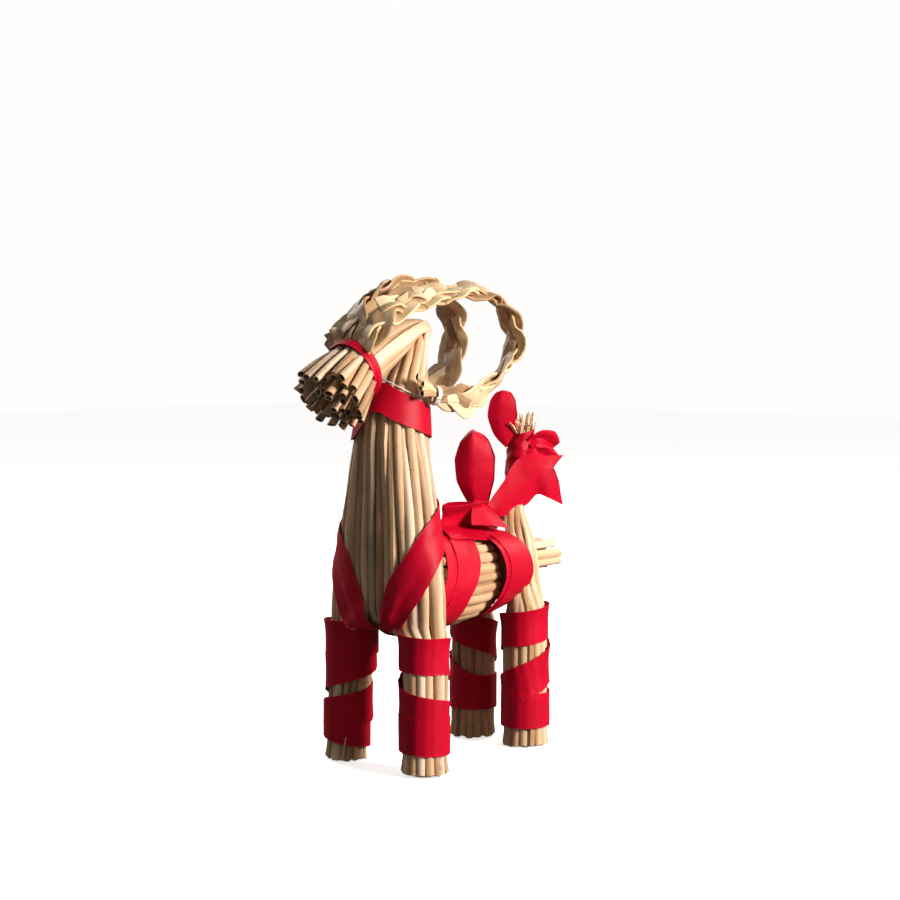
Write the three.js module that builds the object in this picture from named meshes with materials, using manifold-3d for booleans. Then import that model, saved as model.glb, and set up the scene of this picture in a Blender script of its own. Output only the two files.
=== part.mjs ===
import * as THREE from 'three';
import Module from 'manifold-3d';

const wasm = await Module();
wasm.setup();

// Straw goat bound with ribbon. It faces -Y, stands on Z = 0, and its left side is +X. Millimetres.
const strawWidth = 3.7;
const ribbonThick = 0.4;
const clearance = 0.35;

const foreStraws = 17;
const foreOuterStraws = 12;
const hindStraws = 14;
const bodyStraws = 20;

// ---- small helpers -------------------------------------------------------

function vec(x, y, z) {
  return new THREE.Vector3(x, y, z);
}

function mix(a, b, t) {
  return a + (b - a) * t;
}

function smooth(t) {
  const s = Math.min(1, Math.max(0, t));
  return s * s * (3 - 2 * s);
}

function wobble(seed) {
  const s = Math.sin(seed * 12.9898) * 43758.5453;
  return s - Math.floor(s);
}

// A table of stations [key, value, value, ...], read smoothly between its rows.
function station(table, key) {
  if (key <= table[0][0]) {
    return table[0].slice(1);
  }
  for (let i = 1; i < table.length; i += 1) {
    if (key <= table[i][0]) {
      const t = (key - table[i - 1][0]) / (table[i][0] - table[i - 1][0]);
      return table[i].slice(1).map((v, k) => mix(table[i - 1][k + 1], v, t));
    }
  }
  return table[table.length - 1].slice(1);
}

function solid(points, faces) {
  const indexed = Uint32Array.from(faces.flat());
  const flat = new Float32Array(points.length * 3);
  points.forEach((p, i) => p.toArray(flat, i * 3));
  let volume = 0;
  for (let i = 0; i < indexed.length; i += 3) {
    const a = points[indexed[i]];
    const b = points[indexed[i + 1]];
    const c = points[indexed[i + 2]];
    volume += a.dot(b.clone().cross(c));
  }
  if (volume < 0) {
    for (let i = 0; i < indexed.length; i += 3) {
      const keep = indexed[i];
      indexed[i] = indexed[i + 1];
      indexed[i + 1] = keep;
    }
  }
  return new wasm.Manifold(new wasm.Mesh({ numProp: 3, vertProperties: flat, triVerts: indexed }));
}

// Rings of equal length joined end to end; open runs are capped, closed runs join up.
function loft(rings, closed = false) {
  const n = rings[0].length;
  const points = rings.flat();
  const faces = [];
  const last = closed ? rings.length : rings.length - 1;
  for (let i = 0; i < last; i += 1) {
    const a = i * n;
    const b = ((i + 1) % rings.length) * n;
    for (let k = 0; k < n; k += 1) {
      const m = (k + 1) % n;
      faces.push([a + k, a + m, b + m]);
      faces.push([a + k, b + m, b + k]);
    }
  }
  if (!closed) {
    const ends = [[rings[0], 0, true], [rings[rings.length - 1], (rings.length - 1) * n, false]];
    ends.forEach(([ring, start, flip]) => {
      const centre = vec(0, 0, 0);
      ring.forEach((p) => centre.addScaledVector(p, 1 / n));
      const hub = points.length;
      points.push(centre);
      for (let k = 0; k < n; k += 1) {
        const m = (k + 1) % n;
        faces.push(flip ? [hub, start + m, start + k] : [hub, start + k, start + m]);
      }
    });
  }
  return solid(points, faces);
}

function union(parts) {
  return parts.reduce((sum, part) => sum.add(part));
}

const group = new THREE.Group();

function addPart(name, body, colour, roughness) {
  const mesh = body.simplify(0.03).getMesh();
  const geometry = new THREE.BufferGeometry();
  geometry.setAttribute('position', new THREE.BufferAttribute(mesh.vertProperties, 3));
  geometry.setIndex(new THREE.BufferAttribute(mesh.triVerts, 1));
  const material = new THREE.MeshStandardMaterial({ color: colour, roughness, metalness: 0 });
  const part = new THREE.Mesh(geometry, material);
  part.name = name;
  group.add(part);
  return part;
}

// An elliptical ring with a shallow groove between every two straws.
function grooved(centre, across, up, a, b, straws, depth, turn = 0) {
  const ring = [];
  for (let i = 0; i < straws * 2; i += 1) {
    const angle = turn + (i / (straws * 2)) * Math.PI * 2;
    const drop = i % 2 ? 0 : depth;
    const p = centre.clone();
    p.addScaledVector(across, (a - drop) * Math.cos(angle));
    p.addScaledVector(up, (b - drop) * Math.sin(angle));
    ring.push(p);
  }
  return ring;
}

// One cut straw, six-sided.
function straw(from, to, r0, r1) {
  const along = to.clone().sub(from).normalize();
  const side = Math.abs(along.z) > 0.9 ? vec(1, 0, 0) : vec(0, 0, 1);
  const u = side.clone().cross(along).normalize();
  const v = along.clone().cross(u);
  const rings = [[from, r0], [to, r1]].map(([c, r]) => {
    const ring = [];
    for (let i = 0; i < 6; i += 1) {
      const t = (i / 6) * Math.PI * 2;
      ring.push(c.clone().addScaledVector(u, r * Math.cos(t)).addScaledVector(v, r * Math.sin(t)));
    }
    return ring;
  });
  return loft(rings);
}

// A flat ribbon along a run of points; each point carries its width and face directions.
function ribbon(run, width, thick, closed = false) {
  const rings = run.map(({ at, wide, face, scale = 1 }) => {
    const w = wide.clone().multiplyScalar((width * scale) / 2);
    const t = face.clone().multiplyScalar(thick / 2);
    return [
      at.clone().add(w).add(t),
      at.clone().add(w).sub(t),
      at.clone().sub(w).sub(t),
      at.clone().sub(w).add(t),
    ];
  });
  return loft(rings, closed);
}

// ---- fore bundle: front legs, chest, neck, fold, head and muzzle ---------

// height, outer half width, half depth, centre x and y of one leg, how far the halves have met
const fore = [
  [0, 10.6, 10.4, 22.2, -36.5, 0],
  [8, 9.6, 9.6, 22, -36.3, 0],
  [46, 9.7, 9.7, 20.4, -34.6, 0],
  [57.2, 10, 10.4, 20.2, -34.4, 0],
  [60.2, 29.8, 12.8, 0, -34.2, 1],
  [72, 29.1, 13.7, 0, -34, 1],
  [88, 26.8, 14, 0, -33.5, 1],
  [120, 20.4, 14.3, 0, -32.4, 1],
  [142, 15.8, 15, 0, -31.3, 1],
  [158, 14, 12, 0, -28.6, 1],
  [170, 13, 7.6, 0, -24.8, 1],
  [180, 12, 4.4, 0, -21.4, 1],
];
const rightFootSlim = 0.86;

function foreRing(row, side, grow, depth) {
  const [z, a, b, cx, cy, met] = row;
  const outerSpan = (foreOuterStraws / foreStraws) * Math.PI;
  const total = foreStraws * 2;
  const ring = [];
  const slim = side < 0 ? mix(rightFootSlim, 1, smooth(z / 46)) : 1;
  const legA = met < 1 ? a * slim : 10.4;
  const legX = met < 1 ? cx : 20.2;
  const neckA = met < 1 ? 30.6 : a;
  const neckB = met < 1 ? 12 : b;
  for (let i = 0; i < total; i += 1) {
    const angle = -Math.PI + ((i + 0.5) / total) * Math.PI * 2;
    const drop = i % 2 ? 0 : depth;
    const legPoint = [
      legX + (legA + grow - drop) * Math.cos(angle),
      cy + (b * slim + grow - drop) * Math.sin(angle),
    ];
    let neckPoint;
    if (Math.abs(angle) <= outerSpan) {
      const t = (angle / outerSpan) * (Math.PI / 2);
      neckPoint = [
        (neckA + grow - drop) * Math.cos(t) - 0.4,
        cy + (neckB + grow - drop) * Math.sin(t),
      ];
    } else {
      const t = (Math.PI - Math.abs(angle)) / (Math.PI - outerSpan);
      neckPoint = [-0.4, cy + (neckB + grow) * t * Math.sign(angle) * 0.98];
    }
    ring.push(vec(
      side * mix(legPoint[0], neckPoint[0], met),
      mix(legPoint[1], neckPoint[1], met),
      z,
    ));
  }
  return ring;
}

function foreHalf(side, grow, depth, fromZ) {
  const rows = fore.filter((row) => row[0] >= fromZ);
  return loft(rows.map((row) => foreRing(row, side, grow, depth)));
}

const forward = vec(0, -1, 0);
const ringCentre = vec(0, -53.6, 163.4);
const ringTilt = THREE.MathUtils.degToRad(24);
const muzzleTilt = THREE.MathUtils.degToRad(42);

function tiltedAxis(angle) {
  return vec(0, -Math.cos(angle), -Math.sin(angle));
}

// station along the head: centre y, z, downward tilt in degrees, half width, half depth
const head = [
  [0, -17.6, 181.8, 12, 12, 2.6],
  [1, -24, 180.2, 18, 12.8, 4.4],
  [2, -33, 176.2, 22, 13, 7.4],
  [3, -43, 170.6, 24, 12.4, 10],
  [4, -51.6, 165, 24, 11.2, 11.4],
  [5, -57.4, 161.4, 30, 11.2, 11.4],
];

function headLoft() {
  const rings = head.map(([, y, z, tilt, a, b]) => {
    const t = THREE.MathUtils.degToRad(tilt);
    const up = vec(0, -Math.sin(t), Math.cos(t));
    return grooved(vec(0, y, z), vec(1, 0, 0), up, a, b, 16, 0.7);
  });
  return loft(rings);
}

const muzzleRows = [
  [13, 9.4, 15.6],
  [8, 5.4, 9.6],
  [3, 1.8, 3.6],
];

function muzzle() {
  const axis = tiltedAxis(muzzleTilt);
  const up = vec(0, -Math.sin(muzzleTilt), Math.cos(muzzleTilt));
  const across = vec(1, 0, 0);
  const root = vec(0, -56.4, 161.4);
  const straws = [];
  muzzleRows.forEach(([count, near, far], row) => {
    for (let i = 0; i < count; i += 1) {
      const t = ((i + row * 0.4) / count) * Math.PI * 2;
      const long = 13.6 + 3.4 * (wobble(i + row * 31) - 0.5) + row * 0.6;
      const from = root.clone().addScaledVector(across, near * Math.cos(t));
      from.addScaledVector(up, near * Math.sin(t)).addScaledVector(axis, -1);
      const to = root.clone().addScaledVector(across, far * Math.cos(t));
      to.addScaledVector(up, far * Math.sin(t)).addScaledVector(axis, long);
      straws.push(straw(from, to, 1.9, 1.95));
    }
  });
  return union(straws);
}

const foreStrawBody = union([foreHalf(1, 0, 0.8, 0), foreHalf(-1, 0, 0.8, 0), headLoft(), muzzle()]);

// ---- body bundle ---------------------------------------------------------

// along y: half width, half height, centre height
const body = [
  [-22, 18.4, 20, 72.8],
  [-8, 19.2, 19.8, 73],
  [8, 18.8, 18.8, 73.8],
  [19, 16.6, 16.8, 75.4],
  [27, 14, 14.6, 77],
  [36, 12.6, 11.6, 79.4],
  [47, 11.8, 8.8, 81],
];

function bodyLoft(grow, depth) {
  const rings = body.map(([y, a, b, z], i) => {
    const end = grow > 0 && i === body.length - 1 ? 1.5 : 0;
    return grooved(vec(0, y + end, z), vec(1, 0, 0), vec(0, 0, 1), a + grow, b + grow, bodyStraws, depth);
  });
  return loft(rings);
}

// cut ends past the hind legs: x, z and end y
const stubs = [
  [9, 77, 66], [9.2, 81, 66], [8.6, 85, 64], [-9, 77.4, 65], [-9, 81.5, 63.5], [-8.4, 85.4, 64.5],
  [4.6, 75.8, 63], [0.4, 76.4, 65], [-4.4, 76, 64], [4.6, 80.2, 65.5], [0.2, 81, 63], [-4.2, 80.4, 66],
  [4.2, 84.4, 62.5], [0, 85.6, 65], [-4, 84.8, 63],
];

function bodyBundle() {
  const ends = stubs.map(([x, z, y]) => straw(vec(x, 44, z), vec(x * 1.04, y, z), 2.05, 1.85));
  const whole = union([bodyLoft(0, 0.8), ...ends]);
  const neck = union([foreHalf(1, clearance, 0, 54), foreHalf(-1, clearance, 0, 54)]);
  return whole.subtract(neck);
}

const bodySolid = bodyBundle();

// ---- hind bundle: two legs that pass the body and meet above it as the tail

// height, half width, half depth, centre x, centre y
const hind = [
  [0, 10.2, 10.6, 15.2, 36.5],
  [8, 9.5, 9.6, 15.1, 36.5],
  [52, 9.3, 9.6, 14.7, 36.5],
  [62, 6.6, 10, 16.4, 35],
  [74, 4.2, 8.8, 17.8, 32.4],
  [85, 4.2, 8, 15.6, 33.6],
  [93, 4.6, 6.8, 9.4, 38],
  [100, 4.6, 5.4, 4.4, 42.6],
  [109, 4.4, 4.8, 1.5, 46.6],
  [132, 4.4, 4.6, 0.8, 51],
];

function hindHalf(side, grow, depth, fromZ) {
  const rings = hind.filter((row) => row[0] >= fromZ).map(([z, a, b, x, y]) => (
    grooved(vec(side * x, y, z), vec(side, 0, 0), vec(0, 1, 0), a + grow, b + grow, hindStraws, depth)
  ));
  return loft(rings);
}

function tailTip() {
  const tips = [];
  for (let i = 0; i < 8; i += 1) {
    const t = (i / 8) * Math.PI * 2;
    const from = vec(2.4 * Math.cos(t), 50.6 + 2.4 * Math.sin(t), 129);
    const to = vec(4.6 * Math.cos(t), 52.4 + 4.6 * Math.sin(t), 139 + 4 * wobble(i + 3));
    tips.push(straw(from, to, 1.9, 1.5));
  }
  return union(tips);
}

const hindStrawBody = union([hindHalf(1, 0, 0.7, 0), hindHalf(-1, 0, 0.7, 0), tailTip()]);

// ---- horns: three flattened strands plaited along a loop -----------------

// x, y, z, roll in degrees of the plait's width out of the loop's own plane, and fullness
const nearHorn = [
  [8, -51.8, 178.6, 0, 0.8],
  [8, -47, 183.8, 12, 0.95],
  [8, -40.2, 188, 24, 1],
  [8, -27.8, 192, 36, 1],
  [8.6, -15, 193.4, 30, 1],
  [10.2, -2.4, 195, 10, 1],
  [12.6, 8.8, 195.4, 30, 1],
  [15, 17.4, 191.4, 30, 1],
  [17.4, 22.4, 184, 18, 1],
  [18.4, 24.4, 175, 15, 1],
  [18, 21, 166.6, 25, 1],
  [17.4, 13.4, 158.6, 45, 1],
  [17.4, 2.6, 153, 65, 1],
  [17.6, -7.4, 150.4, 85, 0.95],
  [18, -17, 151.8, 85, 0.75],
  [17.8, -27, 153.4, 80, 0.42],
];

const farHorn = [
  [-4.8, -50.8, 178.6, 0, 0.8],
  [-5, -47, 185, -12, 0.95],
  [-5.6, -40.4, 191.4, -24, 1],
  [-6.4, -29, 196, -36, 1],
  [-7.4, -12, 197.4, -30, 1],
  [-9, 4.6, 196.4, -10, 1],
  [-12.4, 17, 190.4, 0, 1],
  [-16, 24.4, 180, 0, 1],
  [-17, 25, 169, 0, 1],
  [-16.8, 19, 160.4, -10, 1],
  [-17, 8.6, 155, -40, 1],
  [-17.4, -4, 151.4, -75, 0.95],
  [-17.8, -15.6, 151.6, -85, 0.75],
  [-17.6, -26.4, 153.2, -80, 0.42],
];

const plait = { pitch: 33, reach: 3.8, lift: 1.5, strandWide: 6.2, strandThick: 2.6, steps: 7, spokes: 10 };

// loose ends of the plait, past the thread that ties it to the neck
const hornEnds = [
  [0.6, -6.4, 4.4],
  [-0.8, -8, 7.4],
  [1.4, -7.6, 0.6],
];

// How far a spoke from the middle of the plait reaches before it leaves a strand.
function strandReach(spoke, offset, lean, full) {
  const ca = Math.cos(lean);
  const sa = Math.sin(lean);
  const halfWide = (plait.strandWide * full) / 2;
  const halfThick = plait.strandThick / 2;
  const dx = (spoke.x * ca + spoke.y * sa) / halfWide;
  const dy = (-spoke.x * sa + spoke.y * ca) / halfThick;
  const ox = (-offset.x * ca - offset.y * sa) / halfWide;
  const oy = (offset.x * sa - offset.y * ca) / halfThick;
  const a = dx * dx + dy * dy;
  const b = ox * dx + oy * dy;
  const c = ox * ox + oy * oy - 1;
  const root = b * b - a * c;
  return root < 0 ? 0 : (-b + Math.sqrt(root)) / a;
}

function hornSolid(rows) {
  const curve = new THREE.CatmullRomCurve3(rows.map(([x, y, z]) => vec(x, y, z)), false, 'centripetal');
  const turns = curve.getLength() / plait.pitch;
  const count = Math.round(turns * plait.steps);
  const sideways = vec(1, 0, 0);
  const rings = [];
  for (let i = 0; i <= count; i += 1) {
    const u = i / count;
    const along = curve.getTangentAt(u);
    const place = curve.getUtoTmapping(u) * (rows.length - 1);
    const row = Math.min(rows.length - 2, Math.floor(place));
    const roll = THREE.MathUtils.degToRad(mix(rows[row][3], rows[row + 1][3], place - row));
    const full = mix(rows[row][4], rows[row + 1][4], place - row);
    const face = sideways.clone().cross(along).normalize();
    const flat = along.clone().cross(face).normalize();
    const wide = flat.multiplyScalar(Math.cos(roll)).addScaledVector(face, -Math.sin(roll));
    const out = along.clone().cross(wide).normalize();
    const strands = [0, 1, 2].map((k) => {
      const phase = (u * turns + k / 3) * Math.PI * 2;
      return {
        offset: { x: full * plait.reach * Math.sin(phase), y: full * plait.lift * Math.sin(phase * 2) },
        lean: 0.4 * Math.cos(phase * 2),
      };
    });
    const ring = [];
    for (let k = 0; k < plait.spokes; k += 1) {
      const t = (k / plait.spokes) * Math.PI * 2;
      const spoke = { x: Math.cos(t), y: Math.sin(t) };
      const reach = strands.map(({ offset, lean }) => strandReach(spoke, offset, lean, full));
      const r = Math.max(1, ...reach);
      ring.push(curve.getPointAt(u).addScaledVector(wide, r * spoke.x).addScaledVector(out, r * spoke.y));
    }
    rings.push(ring);
  }
  const tip = curve.getPointAt(1);
  const from = curve.getPointAt(0.985);
  const ends = hornEnds.map(([x, y, z]) => (
    straw(from, tip.clone().add(vec(Math.sign(tip.x) * x, y, z)), 1.5, 1.7)
  ));
  return union([loft(rings), ...ends]);
}

// ---- ribbons -------------------------------------------------------------

// A ribbon wound down a leg: turns made and the height of its middle there.
function legRibbon(table, side, heights, start, sense) {
  const steps = 5;
  const halfTurns = heights[heights.length - 1][0] * 2;
  const pieces = [];
  for (let half = 0; half < halfTurns; half += 1) {
    const run = [];
    for (let i = 0; i <= steps; i += 1) {
      const turn = (half + i / steps) / 2;
      const angle = start + sense * turn * Math.PI * 2;
      const middle = station(heights, turn)[0];
      const [a, b, cx, cy] = station(table, middle);
      const gap = clearance + ribbonThick / 2 + 0.62 + 0.11 * turn;
      const dir = vec(side * Math.cos(angle), Math.sin(angle), 0);
      const at = vec(side * cx, cy, middle);
      at.x += dir.x * (a + gap);
      at.y += dir.y * (b + gap);
      run.push({ at, wide: vec(0, 0, 1), face: dir });
    }
    pieces.push(ribbon(run, 15, ribbonThick));
  }
  return union(pieces);
}

const backStart = 2.3;
const sideStart = 0.85;

const windings = {
  front_leg_ribbon_left: [
    fore, 1, backStart, 1,
    [[0, 49.6], [0.5, 48], [0.75, 46.3], [1, 38], [1.25, 29.3], [1.75, 22.2], [2, 17.5], [2.25, 15.6], [3, 15]],
  ],
  front_leg_ribbon_right: [
    fore, -1, sideStart, 1,
    [[0, 49], [1, 48.2], [1.25, 46.2], [1.75, 37.5], [2, 30], [2.25, 25], [2.75, 18], [3, 16.2], [4, 14.4]],
  ],
  hind_leg_ribbon_left: [
    hind, 1, backStart, -1,
    [[0, 48.4], [0.25, 48.3], [0.5, 47.8], [0.75, 46.2], [1, 39], [1.25, 30.4], [1.75, 21.3], [2, 17], [2.25, 15], [3, 14]],
  ],
  hind_leg_ribbon_right: [
    hind, -1, sideStart, -1,
    [[0, 49.4], [0.25, 48.3], [0.5, 44], [0.75, 39.5], [1, 31], [1.25, 22.6], [1.75, 18.5], [3, 18.2]],
  ],
};

// A closed ribbon round an upright bundle, its height given by the way round.
function neckRibbon(heightAt, width, thick, gap, steps) {
  const run = [];
  for (let i = 0; i < steps; i += 1) {
    const angle = (i / steps) * Math.PI * 2;
    const z = heightAt(angle);
    const [a, b, , cy] = station(fore, z);
    const [a0, b0, , cy0] = station(fore, z - width / 2);
    const [a1, b1, , cy1] = station(fore, z + width / 2);
    const s = Math.sin(angle);
    const c = Math.cos(angle);
    const low = vec((a0 + gap) * s, cy0 - (b0 + gap) * c, z - width / 2);
    const high = vec((a1 + gap) * s, cy1 - (b1 + gap) * c, z + width / 2);
    const wide = high.sub(low).normalize();
    const at = vec((a + gap) * s, cy - (b + gap) * c, z);
    const face = vec(s / (a + gap), -c / (b + gap), 0).normalize();
    run.push({ at, wide, face });
  }
  return ribbon(run, width, thick, true);
}

function turned(angle, from) {
  const full = Math.PI * 2;
  return ((((angle - from) % full) + full + Math.PI) % full) - Math.PI;
}

const collarHeights = [
  [-3.15, 140.6], [-1, 140.4], [-0.35, 143.4], [0.05, 151.4], [0.3, 152.4], [0.78, 149.3], [1.46, 145.2], [2.2, 142], [3.15, 140.6],
];

function collarHeight(angle) {
  return station(collarHeights, turned(angle, 0))[0];
}

// way round from the bottom of the V, height
const chestHeights = [[0.42, 71.5], [0.62, 77], [0.84, 82], [1.1, 86.5], [1.6, 94], [1.85, 99], [2.4, 104], [3.3, 107]];
const chestMiddle = 0.2;

// One arm of the V: round the neck, down over the chest, and under between the legs.
function chestArm(side, thick = ribbonThick, spread = 0) {
  const gap = 1.05;
  const run = [];
  for (let i = 0; i <= 15; i += 1) {
    const round = mix(3.3, 0.42, i / 15);
    const z = station(chestHeights, round)[0];
    const angle = chestMiddle + side * round;
    const [a, b, , cy] = station(fore, z);
    const [a0, b0, , cy0] = station(fore, z - 6);
    const [a1, b1, , cy1] = station(fore, z + 6);
    const s = Math.sin(angle);
    const c = Math.cos(angle);
    const low = vec((a0 + gap) * s, cy0 - (b0 + gap) * c, z - 6);
    const high = vec((a1 + gap) * s, cy1 - (b1 + gap) * c, z + 6);
    const wide = high.sub(low).normalize();
    run.push({
      at: vec((a + gap) * s, cy - (b + gap) * c, z),
      wide,
      face: vec(s / (a + gap), -c / (b + gap), 0).normalize(),
    });
  }
  [
    [7.4, -48.2, 64.6, -0.25, 0, 1, 0, -1, 0, 0.9],
    [4.4, -47.6, 58, -0.7, -0.2, 0.7, 0.1, -0.95, -0.3, 0.72],
    [2.6, -43, 56.4, -1, -0.3, 0.2, 0, -0.5, -0.87, 0.6],
    [1.4, -34.6, 57.6, -1, 0, 0, 0, 0, -1, 0.55],
    [0.8, -26, 58, -1, 0, 0, 0, 0, -1, 0.55],
  ].forEach(([x, y, z, wx, wy, wz, fx, fy, fz, scale]) => {
    run.push({
      at: vec(side > 0 ? x + 1 : 1 - x, y + (side > 0 ? 0 : 0.3), z - (side > 0 ? 0.5 : 0)),
      wide: vec(side * wx, wy, wz).normalize(),
      face: vec(side * fx, fy, fz).normalize(),
      scale,
    });
  });
  return ribbon(run, 15 + spread, thick);
}

// A closed ribbon round the body, squarer than an ellipse where it holds the hind straws in.
function bodyBand(spec, thick = ribbonThick, spread = 0) {
  const run = [];
  const power = spec.power;
  for (let i = 0; i < spec.steps; i += 1) {
    const angle = (i / spec.steps) * Math.PI * 2;
    const s = Math.sin(angle);
    const c = Math.cos(angle);
    const [y, a, b, z, slope] = station(spec.table, Math.abs(turned(angle, 0)));
    const at = vec(a * Math.sign(s) * Math.abs(s) ** power, y, z + b * Math.sign(c) * Math.abs(c) ** power);
    const face = vec(s / a, 0, c / b).normalize();
    run.push({ at, wide: vec(0, 1, slope).normalize(), face });
  }
  return ribbon(run, spec.width + spread, thick, true);
}

// way round from the top: y, half width, half height, centre height, rise along y
const frontBand = {
  steps: 26,
  width: 14.5,
  power: 1,
  table: [
    [0, 0, 20.8, 21.2, 73, -0.06],
    [1.1, -4.4, 20.8, 21.2, 73, 0],
    [1.9, -9, 20.8, 21.4, 73, 0],
    [3.15, -11.4, 20.8, 21.4, 73, 0.06],
  ],
};

const rearBand = {
  steps: 28,
  width: 14.5,
  power: 0.86,
  table: [
    [0, 22, 23, 17.7, 76.4, -0.06],
    [0.7, 24, 23, 17.6, 76.4, -0.04],
    [1.5, 25, 23, 17.6, 76.4, 0],
    [2.2, 20.6, 22, 18.4, 76.4, 0.2],
    [3.15, 17, 20.6, 20.2, 76.4, 0.36],
  ],
};

// A folded strip through points, each with its width direction.
function strip(rows, width, thick, steps) {
  const curve = new THREE.CatmullRomCurve3(rows.map(([x, y, z]) => vec(x, y, z)), false, 'centripetal');
  const run = [];
  for (let i = 0; i <= steps; i += 1) {
    const u = i / steps;
    const place = curve.getUtoTmapping(u) * (rows.length - 1);
    const row = Math.min(rows.length - 2, Math.floor(place));
    const t = place - row;
    const along = curve.getTangentAt(u);
    const wide = vec(...rows[row].slice(3, 6)).lerp(vec(...rows[row + 1].slice(3, 6)), t);
    wide.addScaledVector(along, -wide.dot(along)).normalize();
    const scale = mix(rows[row][6] ?? 1, rows[row + 1][6] ?? 1, t);
    const face = along.clone().cross(wide).normalize();
    run.push({ at: curve.getPointAt(u), wide, face, scale });
  }
  return ribbon(run, width, thick);
}

const backKnot = [1.5, 24.5, 100.2];

function knotSolid([x, y, z], along, r, long) {
  const side = Math.abs(along.z) > 0.9 ? vec(1, 0, 0) : vec(0, 0, 1);
  const u = side.clone().cross(along).normalize();
  const v = along.clone().cross(u);
  const rings = [[-1, 0.55], [-0.7, 0.95], [0, 1.05], [0.7, 0.95], [1, 0.55]].map(([d, k]) => (
    grooved(vec(x, y, z).addScaledVector(along, d * long), u, v, r * k, r * k, 4, 0)
  ));
  return loft(rings);
}

function backBow() {
  const [x, y, z] = backKnot;
  const loop = strip([
    [x, y - 1, z + 2, 1, 0.4, 0, 0.4],
    [x - 1, y - 4.4, z + 11, 1, 0.6, 0, 0.8],
    [x - 1, y - 6, z + 24, 1, 0.6, 0, 0.95],
    [x, y - 3, z + 34.6, 1, 0.6, 0, 0.7],
    [x, y + 0.4, z + 26, 1, 0.6, 0, 0.95],
    [x, y + 1, z + 12, 1, 0.6, 0, 0.8],
    [x, y + 1, z + 2, 1, 0.4, 0, 0.4],
  ], 15, 0.8, 15);
  const forwardLoop = strip([
    [x, y - 2, z, 1, 0, 0, 0.6],
    [x - 1, y - 9, z + 2.4, 1, 0, 0, 1],
    [x - 1, y - 18, z + 1.4, 1, 0, 0, 1],
    [x - 1, y - 22, z - 1.2, 1, 0, 0, 1],
    [x - 1, y - 17, z - 2.8, 1, 0, 0, 1],
    [x, y - 3, z - 2.6, 1, 0, 0, 0.7],
  ], 14, 0.8, 10);
  const drape = strip([
    [x, y + 1, z + 1, 0, 1, 0, 0.6],
    [x + 7, y + 1.6, z - 1.6, 0, 1, 0, 1],
    [x + 12.4, y + 2.4, z - 4.4, 0, 1, 0.1, 0.95],
  ], 14, 0.8, 4);
  const tail = strip([
    [x, y + 2, z + 0.6, 0.5, 0.4, -0.7, 0.5],
    [7.6, 32, 106.6, 0.5, 0.4, -0.75, 0.85],
    [10.6, 39, 113, 0.45, 0.4, -0.8, 1],
    [12.4, 48, 118, 0.3, 0.3, -0.9, 1.1],
    [12.8, 62.4, 120, 0.1, 0.1, -1, 1.12],
  ], 16, 0.8, 8);
  return union([knotSolid([x, y, z], vec(1, 0, 0), 4.4, 5.4), loop, forwardLoop, drape, tail]);
}

function tailBow() {
  const wrap = [];
  [[115.6, 12], [124.8, 10.5]].forEach(([z, width], i) => {
    const run = [];
    for (let k = 0; k < 12; k += 1) {
      const t = (k / 12) * Math.PI * 2;
      const [a, b, x, y] = station(hind, z);
      const r = clearance + 0.5 + i * 0.35;
      const dir = vec(Math.cos(t), Math.sin(t), 0);
      const at = vec(dir.x * (a + x + r), y + dir.y * (b + r + 0.3), z + 1.6 * Math.sin(t));
      run.push({ at, wide: vec(0, 0.19, 1).normalize(), face: dir });
    }
    wrap.push(ribbon(run, width, 0.7, true));
  });
  const leftLoop = strip([
    [-3, 44.4, 127, 0.7, 0.7, 0, 0.5],
    [-6, 39.4, 136, 0.7, 0.7, 0, 0.9],
    [-6.4, 40, 146, 0.7, 0.7, 0, 1],
    [-6, 45, 152.4, 0.7, 0.7, 0, 0.9],
    [-8, 49, 145, 0.7, 0.7, 0, 1],
    [-7, 47.6, 135, 0.7, 0.7, 0, 0.9],
    [-5, 46.4, 127, 0.7, 0.7, 0, 0.5],
  ], 9, 0.8, 11);
  const rightLoop = strip([
    [5.6, 51.6, 127, 0, 0.3, 1, 0.6],
    [7, 56.6, 130, 0.3, 0.3, 1, 1],
    [9, 62.6, 129, 0.3, 0.3, 1, 1],
    [9.4, 65, 125.6, 0.3, 0.3, 1, 1],
    [7, 60.6, 123, 0.3, 0.3, 1, 1],
    [5.2, 53, 122, 0, 0.3, 1, 0.6],
  ], 10, 0.8, 8);
  const end = strip([
    [5, 54, 121, 0.75, 0.66, 0, 0.6],
    [6, 58.4, 116, 0.75, 0.66, 0, 0.9],
    [6.6, 62.4, 107, 0.75, 0.66, 0, 1],
    [7, 64.4, 101.6, 0.75, 0.66, 0, 1],
  ], 14, 0.8, 5);
  const knot = knotSolid([5.6, 51.6, 124], vec(0, 0, 1), 3.2, 4.6);
  const clear = [[100, 9.6, 6.2], [109, 6.8, 5.8], [132, 5.6, 5], [144, 7.2, 7.2]].map(([z, a, b]) => {
    const y = station(hind, z)[3] + (z > 140 ? 1.8 : 0);
    return grooved(vec(0, y, z), vec(1, 0, 0), vec(0, 1, 0), a, b, 6, 0);
  });
  return union([...wrap, knot, leftLoop, rightLoop, end]).subtract(loft(clear));
}

// A closed loop of flat stuff in a tilted plane round one bundle.
function hoop(centre, across, up, a, b, width, thick, steps) {
  const axis = across.clone().cross(up).normalize();
  const run = [];
  for (let i = 0; i < steps; i += 1) {
    const t = (i / steps) * Math.PI * 2;
    const at = centre.clone().addScaledVector(across, a * Math.cos(t)).addScaledVector(up, b * Math.sin(t));
    const face = across.clone().multiplyScalar(Math.cos(t) / a).addScaledVector(up, Math.sin(t) / b);
    run.push({ at, wide: axis, face: face.normalize() });
  }
  return ribbon(run, width, thick, true);
}

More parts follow.
